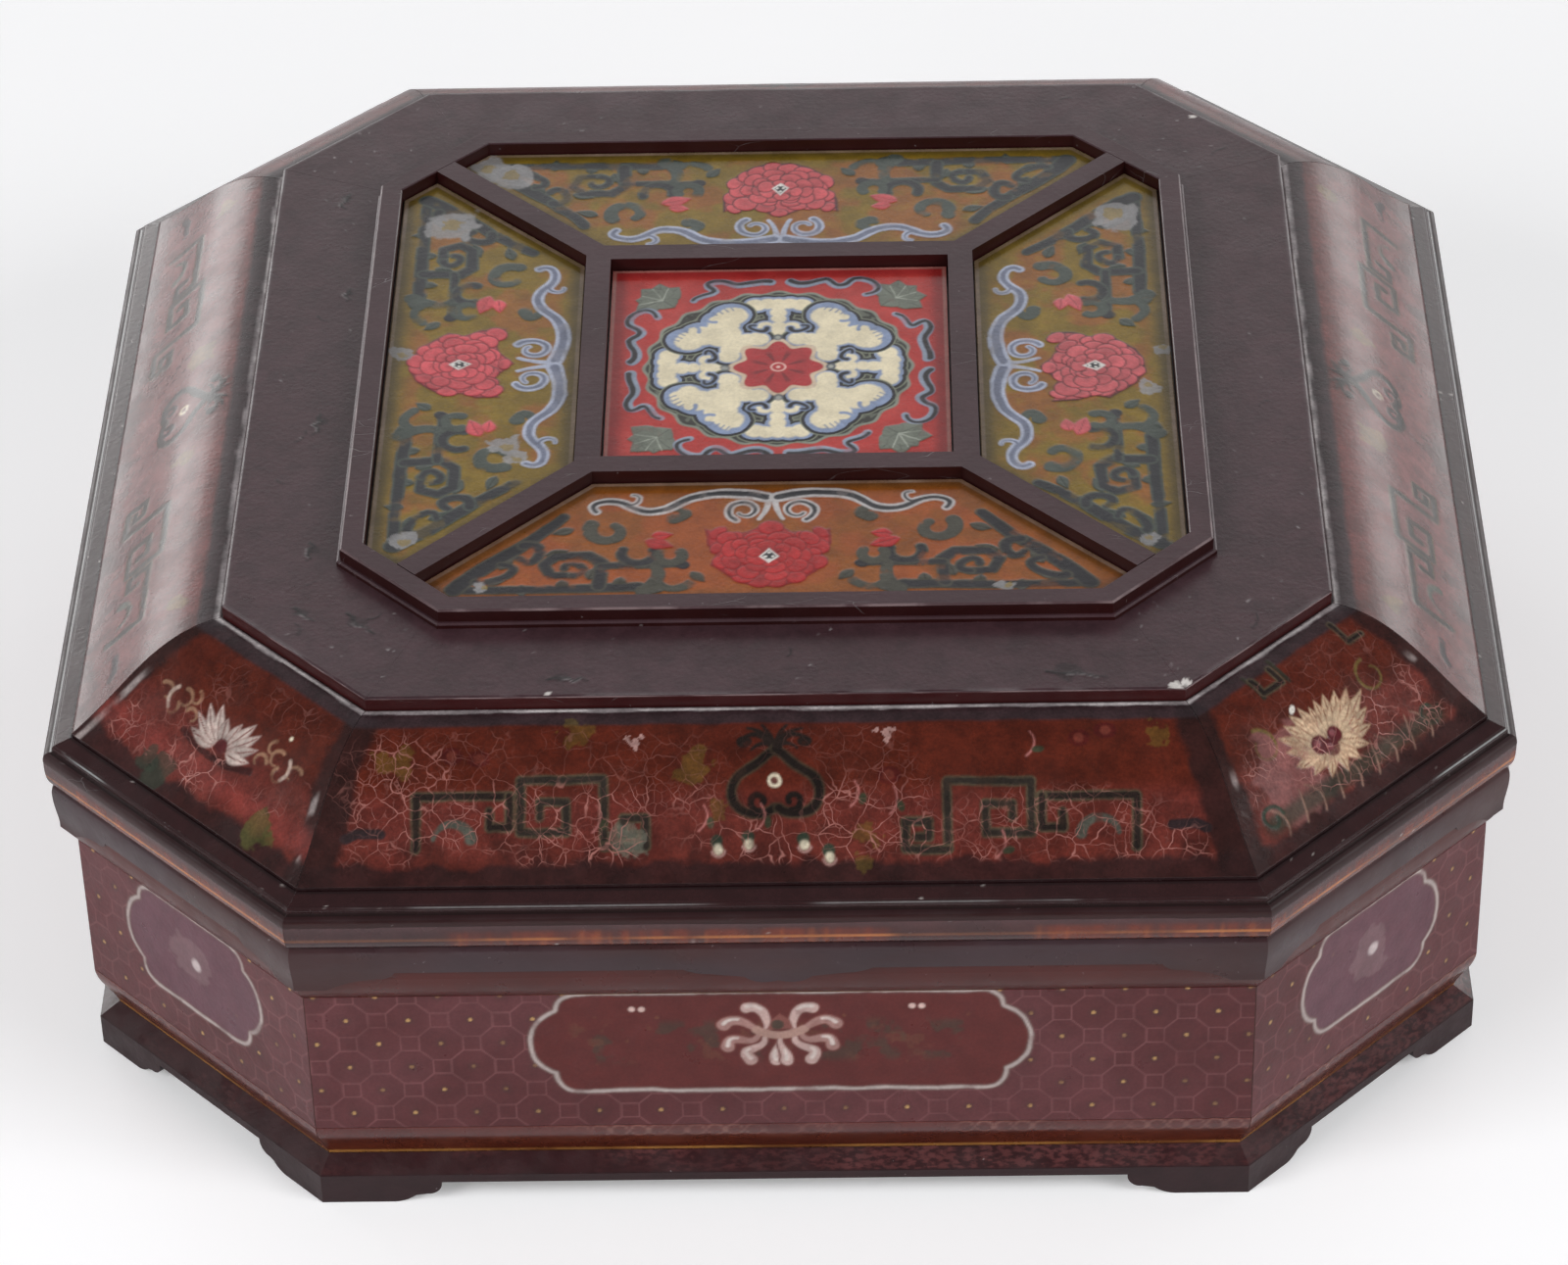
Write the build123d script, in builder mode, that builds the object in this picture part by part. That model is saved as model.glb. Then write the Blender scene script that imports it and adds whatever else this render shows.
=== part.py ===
from build123d import *
from math import cos, radians, sin, sqrt, tan
import os

os.makedirs("parts", exist_ok=True)

# Lacquered wooden box, octagonal (a square with cut corners), with a lift-off lid.
# Origin: centre of the footprint on the resting plane. +Z up, the front looks along -Y.
# Profiles are drawn as (offset, height): the offset runs inward from the widest octagon.

# Widest octagon, at the bead of the lid's rim
half_width = 200.0
corner_cut = 70.8

# Plinth and feet
plinth_offset = 6.3
plinth_arris = 9.6
foot_clear = 7.0
gold_line_offset = 12.0
gold_line_height = 13.3
long_foot = 33.0
short_foot = 26.0
plinth_thickness = 12.0

# Walls, floor and locating lip
wall_offset = 6.5
wall_thickness = 9.0
wall_bottom = 27.4
wall_top = 74.5
floor_thickness = 6.5
floor_border = 6.5
lip_thickness = 4.0
lip_rise = 6.4
lip_drop = 34.0
lid_clearance = 0.5

# Waist boards with the carved lip
seam_height = 96.6
waist_edge = 86.9
bracket_drop = 6.4
lobe_drop = 4.6
long_bracket = 28.0
short_bracket = 22.0
lobe_half = 25.0

# Lid
rim_top = 110.2
ledge_offset = 8.2
ogee_top = 137.0
top_height = 141.0
top_offset = 50.0
top_thickness = 9.0
rebate_width = 6.0

# Raised frame and painted panels on the top board
frame_height = 5.4
frame_half = 119.0
frame_cut = 28.4
stick_width = 6.4
bead_width = 1.1
bead_height = 1.6
bar_width = 7.2
centre_half = 49.2
panel_thickness = 1.4
panel_gap = 0.4

# Derived sizes
turn_factor = tan(radians(22.5))
long_half = half_width - corner_cut
short_half = corner_cut / sqrt(2)
corner_distance = (2 * half_width - corner_cut) / sqrt(2)
wall_inside = wall_offset + wall_thickness
lip_inside = wall_inside + lip_thickness
lid_inside = wall_inside - lid_clearance
floor_offset = wall_inside + floor_border
frame_top = top_height + frame_height
bar_outside = centre_half + bar_width

side_names = [
    "front",
    "front_right",
    "right",
    "back_right",
    "back",
    "back_left",
    "left",
    "front_left",
]


def half_length(index):
    """Half the length of a side of the widest octagon; even sides are the long ones."""
    if index % 2:
        return short_half
    return long_half


def side_distance(index):
    """Distance from the centre to a side of the widest octagon."""
    if index % 2:
        return corner_distance
    return half_width


def side_axes(index):
    """Outward and lengthwise directions of a side."""
    angle = radians(45 * index)
    outward = Vector(sin(angle), -cos(angle), 0)
    along = Vector(cos(angle), sin(angle), 0)
    return outward, along


def section_plane(index):
    """Plane across a side: local X is the offset inward, local Y the height."""
    outward, along = side_axes(index)
    return Plane(
        origin=outward * side_distance(index), x_dir=outward * -1, z_dir=along
    )


def face_plane(index):
    """Plane of a side's face: local X runs along the side, local Y is the height."""
    outward, along = side_axes(index)
    return Plane(origin=outward * side_distance(index), x_dir=along, z_dir=outward)


def ground_plane(index):
    """Ground plane of a side: local X runs along the side, local Y is the offset."""
    outward, along = side_axes(index)
    return Plane(
        origin=outward * side_distance(index), x_dir=along, z_dir=(0, 0, 1)
    )


def mitre_wedge(index):
    """Ground outline of what lies between the two mitre planes of a side."""
    length = half_length(index)
    deep = 60.0
    with BuildSketch(ground_plane(index)) as wedge:
        Polygon(
            (-length - turn_factor, -1),
            (length + turn_factor, -1),
            (length - turn_factor * deep, deep),
            (-length + turn_factor * deep, deep),
            align=None,
        )
    return wedge.sketch


def octagon(offset):
    """Octagonal face at an offset inward from the widest octagon."""
    far = half_width - offset
    near = long_half - turn_factor * offset
    Polygon(
        (-far, -near),
        (-near, -far),
        (near, -far),
        (far, -near),
        (far, near),
        (near, far),
        (-near, far),
        (-far, near),
        align=None,
    )


def export_piece(piece, name):
    """Label a finished piece and write it."""
    piece.part.label = name
    export_step(piece.part, f"parts/{name}.step")


# Plinth boards: the top slopes out to an arris, and the lower edge is cut
# away between two bracket feet with a scalloped outline.
for index, side in enumerate(side_names):
    length = half_length(index) - turn_factor * plinth_offset
    foot = short_foot if index % 2 else long_foot
    with BuildPart() as plinth_board:
        with BuildSketch(section_plane(index)):
            Polygon(
                (plinth_offset, 0),
                (plinth_offset, plinth_arris),
                (gold_line_offset, gold_line_height),
                (plinth_offset + plinth_thickness, gold_line_height),
                (plinth_offset + plinth_thickness, 0),
                align=None,
            )
        extrude(amount=half_length(index), both=True)
        with BuildSketch(face_plane(index)):
            with BuildLine():
                Polyline(
                    (-length + foot, foot_clear),
                    (length - foot, foot_clear),
                )
                ThreePointArc(
                    (length - foot, foot_clear),
                    (length - foot + 0.9, 4.0),
                    (length - foot + 4.0, 2.8),
                )
                Line(
                    (length - foot + 4.0, 2.8),
                    (length - foot * 0.78, 2.3),
                )
                ThreePointArc(
                    (length - foot * 0.78, 2.3),
                    (length - foot * 0.70, 0.7),
                    (length - foot * 0.60, 0),
                )
                Polyline(
                    (length - foot * 0.60, 0),
                    (length - foot * 0.60, -1),
                    (-length + foot * 0.60, -1),
                    (-length + foot * 0.60, 0),
                )
                ThreePointArc(
                    (-length + foot * 0.60, 0),
                    (-length + foot * 0.70, 0.7),
                    (-length + foot * 0.78, 2.3),
                )
                Line(
                    (-length + foot * 0.78, 2.3),
                    (-length + foot - 4.0, 2.8),
                )
                ThreePointArc(
                    (-length + foot - 4.0, 2.8),
                    (-length + foot - 0.9, 4.0),
                    (-length + foot, foot_clear),
                )
            make_face()
        extrude(amount=-40, mode=Mode.SUBTRACT)
        extrude(mitre_wedge(index), amount=2 * top_height, mode=Mode.INTERSECT)
    export_piece(plinth_board, f"plinth_{side}")


# Cove moulding: eight mitred lengths running in from the wall to the gold line.
cove_lengths = []
for index in range(8):
    with BuildPart() as cove_length:
        with BuildSketch(section_plane(index)):
            with BuildLine():
                Spline(
                    (wall_offset, wall_bottom),
                    (wall_offset + 1.2, wall_bottom - 5.0),
                    (gold_line_offset - 1.4, gold_line_height + 3.6),
                    (gold_line_offset, gold_line_height),
                )
                Polyline(
                    (gold_line_offset, gold_line_height),
                    (floor_offset, gold_line_height),
                    (floor_offset, wall_bottom),
                    (wall_offset, wall_bottom),
                )
            make_face()
        extrude(amount=half_length(index), both=True)
        extrude(mitre_wedge(index), amount=2 * top_height, mode=Mode.INTERSECT)
    cove_lengths.append(cove_length.part.solid())
cove_moulding = Compound(children=cove_lengths)
cove_moulding.label = "cove_moulding"
export_step(cove_moulding, "parts/cove_moulding.step")


# Bottom board, set inside the cove moulding.
with BuildPart() as bottom_board:
    with BuildSketch(Plane.XY.offset(wall_bottom - floor_thickness)):
        octagon(floor_offset)
    extrude(amount=floor_thickness)
export_piece(bottom_board, "bottom_board")


# Wall boards.
for index, side in enumerate(side_names):
    with BuildPart() as wall_board:
        with BuildSketch(section_plane(index)):
            Polygon(
                (wall_offset, wall_bottom),
                (wall_inside, wall_bottom),
                (wall_inside, wall_top),
                (wall_offset, wall_top),
                align=None,
            )
        extrude(amount=half_length(index), both=True)
        extrude(mitre_wedge(index), amount=2 * top_height, mode=Mode.INTERSECT)
    export_piece(wall_board, f"wall_{side}")


def bracket_line(end, inner, sign):
    """Carved bracket between the straight lower edge and a corner.

    end is the corner, inner the bracket's inner end and sign the corner's side.
    """
    width = end - inner
    Spline(
        (sign * inner, waist_edge),
        (sign * (inner + 0.05 * width), waist_edge - 1.7),
        (sign * (inner + 0.16 * width), waist_edge - 2.5),
    )
    Spline(
        (sign * (inner + 0.16 * width), waist_edge - 2.5),
        (sign * (inner + 0.42 * width), waist_edge - 3.6),
        (sign * (inner + 0.62 * width), waist_edge - bracket_drop + 0.5),
    )
    Line(
        (sign * (inner + 0.62 * width), waist_edge - bracket_drop + 0.5),
        (sign * (inner + 0.66 * width), waist_edge - bracket_drop),
    )
    Line(
        (sign * (inner + 0.66 * width), waist_edge - bracket_drop),
        (sign * (end + 6), waist_edge - bracket_drop),
    )


def lobe_line(sign):
    """Half of the carved lobe at the middle of a long side."""
    Spline(
        (sign * lobe_half, waist_edge),
        (sign * (lobe_half - 3.0), waist_edge - 1.4),
        (sign * (lobe_half - 6.5), waist_edge - 1.9),
    )
    Spline(
        (sign * (lobe_half - 6.5), waist_edge - 1.9),
        (sign * 13.0, waist_edge - 2.6),
        (sign * 9.0, waist_edge - 3.1),
    )
    Spline(
        (sign * 9.0, waist_edge - 3.1),
        (sign * 7.6, waist_edge - 4.2),
        (0, waist_edge - lobe_drop),
    )


# Waist boards: an ovolo backing that meets the wall, and a convex lip in
# front of it whose lower edge is carved.
for index, side in enumerate(side_names):
    length = half_length(index)
    bracket = short_bracket if index % 2 else long_bracket
    inner = length - bracket
    with BuildPart() as waist_board:
        with BuildSketch(section_plane(index)):
            with BuildLine():
                Spline(
                    (5.4, seam_height),
                    (3.0, 96.1),
                    (1.6, 94.6),
                    (1.2, 92.0),
                    (1.5, 88.0),
                    (2.1, 79.0),
                )
                Polyline(
                    (2.1, 79.0),
                    (4.2, 79.0),
                    (5.4, seam_height),
                )
            make_face()
        extrude(amount=length + 1, both=True)
        with BuildSketch(face_plane(index)):
            with BuildLine():
                bracket_line(length, inner, 1)
                bracket_line(length, inner, -1)
                if index % 2:
                    Line((-inner, waist_edge), (inner, waist_edge))
                else:
                    Line((-inner, waist_edge), (-lobe_half, waist_edge))
                    lobe_line(-1)
                    lobe_line(1)
                    Line((lobe_half, waist_edge), (inner, waist_edge))
                Polyline(
                    (length + 6, waist_edge - bracket_drop),
                    (length + 6, seam_height),
                    (-length - 6, seam_height),
                    (-length - 6, waist_edge - bracket_drop),
                )
            make_face()
        extrude(amount=-20, mode=Mode.INTERSECT)
        with BuildSketch(section_plane(index)):
            with BuildLine():
                Spline(
                    (3.1, 83.4),
                    (3.5, 80.6),
                    (4.6, 77.4),
                    (wall_offset, wall_top),
                )
                Polyline(
                    (wall_offset, wall_top),
                    (wall_inside, wall_top),
                    (wall_inside, seam_height),
                    (5.4, seam_height),
                    (3.1, 92.0),
                    (3.1, 83.4),
                )
            make_face()
        extrude(amount=length + 1, both=True)
        extrude(mitre_wedge(index), amount=2 * top_height, mode=Mode.INTERSECT)
    export_piece(waist_board, f"waist_{side}")


# Locating strips inside the walls, standing above the seam.
lip_strips = []
for index in range(8):
    with BuildPart() as lip_strip:
        with BuildSketch(section_plane(index)):
            Polygon(
                (wall_inside, seam_height - lip_drop),
                (lip_inside, seam_height - lip_drop),
                (lip_inside, seam_height + lip_rise),
                (wall_inside + 0.8, seam_height + lip_rise),
                (wall_inside, seam_height + lip_rise - 1.2),
                align=None,
            )
        extrude(amount=half_length(index), both=True)
        extrude(mitre_wedge(index), amount=2 * top_height, mode=Mode.INTERSECT)
    lip_strips.append(lip_strip.part.solid())
locating_lip = Compound(children=lip_strips)
locating_lip.label = "locating_lip"
export_step(locating_lip, "parts/locating_lip.step")


# Rim boards of the lid: ledge, arris, groove and undercut bead.
for index, side in enumerate(side_names):
    with BuildPart() as rim_board:
        with BuildSketch(section_plane(index)):
            with BuildLine():
                Polyline(
                    (lid_inside, seam_height),
                    (lid_inside, rim_top),
                    (ledge_offset, rim_top),
                    (3.2, 108.6),
                    (2.6, 107.9),
                    (2.7, 106.9),
                    (1.7, 106.8),
                )
                Spline(
                    (1.7, 106.8),
                    (0.4, 106.1),
                    (0.0, 104.8),
                    (0.4, 102.4),
                    (1.7, 99.7),
                    (3.8, 97.6),
                )
                Polyline(
                    (3.8, 97.6),
                    (5.4, 97.2),
                    (5.4, seam_height),
                    (lid_inside, seam_height),
                )
            make_face()
        extrude(amount=half_length(index), both=True)
        extrude(mitre_wedge(index), amount=2 * top_height, mode=Mode.INTERSECT)
    export_piece(rim_board, f"rim_{side}")


# Ogee boards of the lid: a convex shoulder that turns into a hollow flare.
for index, side in enumerate(side_names):
    with BuildPart() as ogee_board:
        with BuildSketch(section_plane(index)):
            with BuildLine():
                Spline(
                    (ledge_offset, rim_top + 0.8),
                    (11.6, 113.6),
                    (19.4, 120.4),
                    (28.4, 128.6),
                    (38.4, 134.9),
                    (top_offset - 0.4, ogee_top),
                )
                Polyline(
                    (top_offset - 0.4, ogee_top),
                    (top_offset, ogee_top),
                    (top_offset, top_height - top_thickness),
                    (top_offset + rebate_width, top_height - top_thickness),
                    (top_offset + rebate_width, top_height - top_thickness - 4),
                    (40.0, 126.0),
                    (lid_inside + 2, rim_top),
                    (ledge_offset, rim_top),
                    (ledge_offset, rim_top + 0.8),
                )
            make_face()
        extrude(amount=half_length(index), both=True)
        extrude(mitre_wedge(index), amount=2 * top_height, mode=Mode.INTERSECT)
    export_piece(ogee_board, f"ogee_{side}")


# Top board, let into the ogee boards, with its upper edge eased.
with BuildPart() as top_board:
    with BuildSketch(Plane.XY.offset(top_height - top_thickness)):
        octagon(top_offset)
    extrude(amount=top_thickness)
    chamfer(top_board.faces().sort_by(Axis.Z)[-1].edges(), length=0.35)
export_piece(top_board, "top_board")


# Raised frame: eight outer sticks with a low bead along their foot.
frame_near = frame_half - frame_cut
frame_diagonal = (2 * frame_half - frame_cut) / sqrt(2)
stick_inside = frame_half - stick_width


def stick_plane(index):
    """Plane across a frame stick: local X is the offset inward, local Y the height."""
    outward, along = side_axes(index)
    distance = frame_diagonal if index % 2 else frame_half
    origin = outward * distance + Vector(0, 0, top_height)
    return Plane(origin=origin, x_dir=outward * -1, z_dir=along)


for index, side in enumerate(side_names):
    outward, along = side_axes(index)
    distance = frame_diagonal if index % 2 else frame_half
    length = frame_cut / sqrt(2) if index % 2 else frame_near
    with BuildPart() as frame_stick:
        with BuildSketch(stick_plane(index)):
            Polygon(
                (-bead_width, 0),
                (-bead_width, bead_height - 0.5),
                (-bead_width + 0.5, bead_height),
                (0, bead_height),
                (0, frame_height - 0.5),
                (0.5, frame_height),
                (stick_width - 0.3, frame_height),
                (stick_width, frame_height - 0.3),
                (stick_width, 0),
                align=None,
            )
        extrude(amount=length + 1, both=True)
        plan = Plane(
            origin=outward * distance + Vector(0, 0, top_height),
            x_dir=along,
            z_dir=(0, 0, 1),
        )
        with BuildSketch(plan):
            Polygon(
                (-length - 2 * turn_factor, -2),
                (length + 2 * turn_factor, -2),
                (length - 8 * turn_factor, 8),
                (-length + 8 * turn_factor, 8),
                align=None,
            )
        extrude(amount=10, mode=Mode.INTERSECT)
    export_piece(frame_stick, f"frame_{side}")


# Four bars round the centre panel, mitred at its corners.
square_bars = []
for index in range(0, 8, 2):
    outward, along = side_axes(index)
    with BuildPart() as square_bar:
        origin = outward * bar_outside + Vector(0, 0, top_height)
        with BuildSketch(Plane(origin=origin, x_dir=along, z_dir=(0, 0, 1))):
            Polygon(
                (-bar_outside, 0),
                (bar_outside, 0),
                (centre_half, bar_width),
                (-centre_half, bar_width),
                align=None,
            )
        extrude(amount=frame_height)
    square_bars.append(square_bar.part.solid())
centre_bars = Compound(children=square_bars)
centre_bars.label = "centre_bars"
export_step(centre_bars, "parts/centre_bars.step")


# Four diagonal bars, from the corners of the centre bars to the corner sticks.
diagonal_outer = frame_diagonal - stick_width
diagonal_inner = bar_outside * sqrt(2)
diagonal_bars = []
for index in range(1, 8, 2):
    outward, along = side_axes(index)
    with BuildPart() as diagonal_bar:
        origin = outward * diagonal_outer + Vector(0, 0, top_height)
        with BuildSketch(Plane(origin=origin, x_dir=along, z_dir=(0, 0, 1))):
            Polygon(
                (-bar_width / 2, 0),
                (bar_width / 2, 0),
                (bar_width / 2, diagonal_outer - diagonal_inner + bar_width / 2),
                (0, diagonal_outer - diagonal_inner),
                (-bar_width / 2, diagonal_outer - diagonal_inner + bar_width / 2),
                align=None,
            )
        extrude(amount=frame_height)
    diagonal_bars.append(diagonal_bar.part.solid())
corner_bars = Compound(children=diagonal_bars)
corner_bars.label = "diagonal_bars"
export_step(corner_bars, "parts/diagonal_bars.step")


# Painted panels, thin sheets lying on the top board inside the frame.
with BuildPart() as centre_panel:
    with BuildSketch(Plane.XY.offset(top_height)):
        Rectangle(2 * (centre_half - panel_gap), 2 * (centre_half - panel_gap))
    extrude(amount=panel_thickness)
export_piece(centre_panel, "panel_centre")

side_reach = stick_inside - panel_gap
side_start = bar_outside + panel_gap
band = (bar_width / 2 + panel_gap) * sqrt(2)
cut_sum = sqrt(2) * (diagonal_outer - panel_gap)
for index in range(0, 8, 2):
    outward, along = side_axes(index)
    with BuildPart() as side_panel:
        plan = Plane(
            origin=Vector(0, 0, top_height), x_dir=along, z_dir=(0, 0, 1)
        )
        with BuildSketch(plan):
            Polygon(
                (side_start - band, -side_start),
                (-side_start + band, -side_start),
                (-(cut_sum - band) / 2, -(cut_sum + band) / 2),
                (-(cut_sum - side_reach), -side_reach),
                (cut_sum - side_reach, -side_reach),
                ((cut_sum - band) / 2, -(cut_sum + band) / 2),
                align=None,
            )
        extrude(amount=panel_thickness)
    export_piece(side_panel, f"panel_{side_names[index]}")
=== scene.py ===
"""The painted and worn surfaces of an octagonal lacquer box with a lift-off lid."""

import math

import bpy
import numpy as np
from mathutils import Matrix, Vector


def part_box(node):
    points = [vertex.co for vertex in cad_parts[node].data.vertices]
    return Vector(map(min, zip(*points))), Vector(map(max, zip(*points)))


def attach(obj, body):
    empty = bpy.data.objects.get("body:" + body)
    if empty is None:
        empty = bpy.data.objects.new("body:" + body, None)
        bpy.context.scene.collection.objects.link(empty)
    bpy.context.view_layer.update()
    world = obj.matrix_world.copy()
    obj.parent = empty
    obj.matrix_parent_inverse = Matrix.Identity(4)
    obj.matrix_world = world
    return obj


bl_info = {
    "name": "Octagonal lacquer box",
    "version": (1, 0, 0),
    "blender": (4, 5, 0),
    "location": "3D View > Sidebar > Lacquer Box",
    "description": "Lays painted lacquer, wear and a studio over the box's frame",
    "category": "Object",
}

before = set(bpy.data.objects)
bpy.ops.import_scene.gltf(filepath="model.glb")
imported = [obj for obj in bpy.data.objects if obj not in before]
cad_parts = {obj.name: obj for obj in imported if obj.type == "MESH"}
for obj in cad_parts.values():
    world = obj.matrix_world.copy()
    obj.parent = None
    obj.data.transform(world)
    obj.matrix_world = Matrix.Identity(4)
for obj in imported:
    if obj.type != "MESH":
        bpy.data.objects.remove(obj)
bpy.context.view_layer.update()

MM = 0.001
TURN = math.tan(math.radians(22.5))
SIDES = (
    "front",
    "front_right",
    "right",
    "back_right",
    "back",
    "back_left",
    "left",
    "front_left",
)


def node_box(name):
    """Lowest and highest corner of a CAD node, in millimetres."""
    low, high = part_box(name)
    return np.array(low) / MM, np.array(high) / MM


# The box's main sizes in millimetres, read from the frame
HALF_WIDTH = -node_box("rim_front")[0][1]
LONG_HALF = node_box("rim_front")[1][0]
CORNER_CUT = HALF_WIDTH - LONG_HALF
SHORT_HALF = CORNER_CUT / math.sqrt(2)
CORNER_DISTANCE = (2 * HALF_WIDTH - CORNER_CUT) / math.sqrt(2)
WALL_BOTTOM = node_box("wall_front")[0][2]
WALL_TOP = node_box("wall_front")[1][2]
WALL_OFFSET = HALF_WIDTH + node_box("wall_front")[0][1]
TOP_HEIGHT = node_box("top_board")[1][2]
TOP_HALF = node_box("top_board")[1][0]
FRAME_TOP = node_box("frame_front")[1][2]
CENTRE_HALF = node_box("panel_centre")[1][0]
PANEL_TOP = node_box("panel_centre")[1][2]
PANEL_START = -node_box("panel_front")[1][1]
PANEL_REACH = -node_box("panel_front")[0][1]

# Sizes in millimetres that the frame's boxes don't give
PLINTH_ARRIS = 9.6
FRAME_HALF = 119.0
FRAME_CUT = 28.4
STICK_WIDTH = 6.4
BAR_WIDTH = 7.2

# Where the waist's lip turns to its hollow, as offsets outward from the widest
# octagon and as heights, and where its top edge turns to a red painted shade
# under the lid's rim, in millimetres
LIP_BACK = (-2.7, -2.4)
LIP_FOOT = (86.0, 88.0)
LIP_TOP = (95.2, 96.2)

# How far short of the mitre a skin ends, and how far inside its ends the next
# columns of points lie, in millimetres
MITRE_GAP = 0.1
GUARD = 0.04

# The medallion's middle lies this far below the panel's, and its clouds reach this far
MEDALLION_DROP = 1.6
CLOUD_REACH = 42

# Sides that the main view shows from close by
FINE_SIDES = (0, 1, 7)

# Profiles as (offset inward from the widest octagon, height), in millimetres
OGEE_PROFILE = (
    (8.2, 111.0), (11.6, 113.6), (19.4, 120.4), (28.4, 128.6), (38.4, 134.9), (49.6, 137.0),
)
OGEE_ENDS = (OGEE_PROFILE[0][0], OGEE_PROFILE[-1][0])
COVE_PROFILE = ((12.0, 13.3), (10.6, 16.9), (7.7, 22.4), (6.5, 27.4))
RIM_BEAD = ((2.3, 95.4), (1.1, 96.6), (0.25, 99.4), (0.05, 103.2), (0.5, 105.9), (1.7, 106.8))
RIM_LEDGE = ((2.7, 106.9), (2.6, 107.9), (3.2, 108.6), (8.2, 110.2))


def linear(text):
    """Linear red, green and blue of a colour written as six hexadecimal digits."""
    parts = np.array([int(text[k : k + 2], 16) for k in (0, 2, 4)]) / 255
    return np.where(parts <= 0.04045, parts / 12.92, ((parts + 0.055) / 1.055) ** 2.4)


def as_colour(colour):
    """A colour given as an array, or written as six hexadecimal digits."""
    return linear(colour) if isinstance(colour, str) else np.array(colour)


def colour_property(name, description, text):
    """A colour swatch whose default is written as six hexadecimal digits."""
    return bpy.props.FloatVectorProperty(
        name=name,
        description=description,
        subtype="COLOR",
        size=3,
        min=0.0,
        max=1.0,
        default=tuple(float(x) for x in linear(text)),
    )


def length_property(name, description, value, low, high):
    """A length setting; value, low and high are in millimetres."""
    return bpy.props.FloatProperty(
        name=name,
        description=description,
        default=value * MM,
        min=low * MM,
        max=high * MM,
        subtype="DISTANCE",
        unit="LENGTH",
        precision=5,
    )


class LacquerSizes(bpy.types.PropertyGroup):
    """Sizes of the painted skins."""

    skin_lift: length_property(
        "Skin lift", "How far the painted skin stands off the boards", 0.12, 0.02, 0.5
    )
    skin_depth: length_property(
        "Skin depth", "How far the skin's underside is sunk into the boards", 0.4, 0.1, 2
    )
    fine_step: length_property(
        "Fine step", "Grid step of the finely painted skins", 0.42, 0.3, 3
    )
    plain_step: length_property(
        "Plain step", "Grid step of the skins at the sides and the back", 0.8, 0.4, 4
    )
    crack_size: length_property(
        "Crack size", "Size of the cells in the crackled paint", 6.0, 1, 20
    )


class LacquerColours(bpy.types.PropertyGroup):
    """Ground colours of the lacquer and the paint."""

    dark: colour_property("Dark lacquer", "Top board, frame, rim and waist", "402a2f")
    edge: colour_property("Edge red", "Upright faces of the frame and the top board", "2c0f0f")
    ogee: colour_property("Ogee", "Red-brown ground of the sloping boards", "531d10")
    wall: colour_property("Wall", "Mauve-brown ground of the walls", "562a2c")
    cove: colour_property("Cove", "Warm red-brown of the cove moulding", "54200f")
    plinth: colour_property("Plinth", "Near-black lacquer of the feet", "2c1619")
    # Worn edge is also the colour of the painted highlights on the rubbed edges and the ogee's
    # crest
    worn: colour_property("Worn edge", "Rubbed, greyish edges", "a39a9c")
    gold: colour_property("Gold", "Thin worn gold lines", "a5733c")
    ochre: colour_property("Ochre", "Ground of the side panels", "7a6218")
    orange: colour_property("Orange", "Ground of the front panel", "8a4716")
    red: colour_property("Red", "Ground of the centre panel", "ad302c")
    cream: colour_property("Cream", "Clouds of the medallion", "e4d8ba")
    inside: colour_property("Inside", "Lacquer of the inside", "2b1517")


class StudioSettings(bpy.types.PropertyGroup):
    """Light and floor of the studio."""

    world_strength: bpy.props.FloatProperty(
        name="World light",
        description="Strength of the even light from all round",
        default=0.16,
        min=0.0,
        max=2.0,
    )
    paper_strength: bpy.props.FloatProperty(
        name="Backdrop light",
        description="Strength of the white backdrop behind the box",
        default=1.1,
        min=0.0,
        max=3.0,
    )
    lamp_power: bpy.props.FloatProperty(
        name="Lamp power",
        description="Power of each large soft lamp at the sides",
        default=23.0,
        min=0.0,
        max=200.0,
        unit="POWER",
    )
    floor_colour: colour_property("Floor", "Plain pale floor", "f4f4f6")


def sizes():
    """The size settings of the scene."""
    return bpy.context.scene.lacquer_sizes


def colour_of(name):
    """One of the scene's lacquer colours, as an array."""
    return np.array(getattr(bpy.context.scene.lacquer_colours, name))


# Curves and noise, as whole arrays


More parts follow.
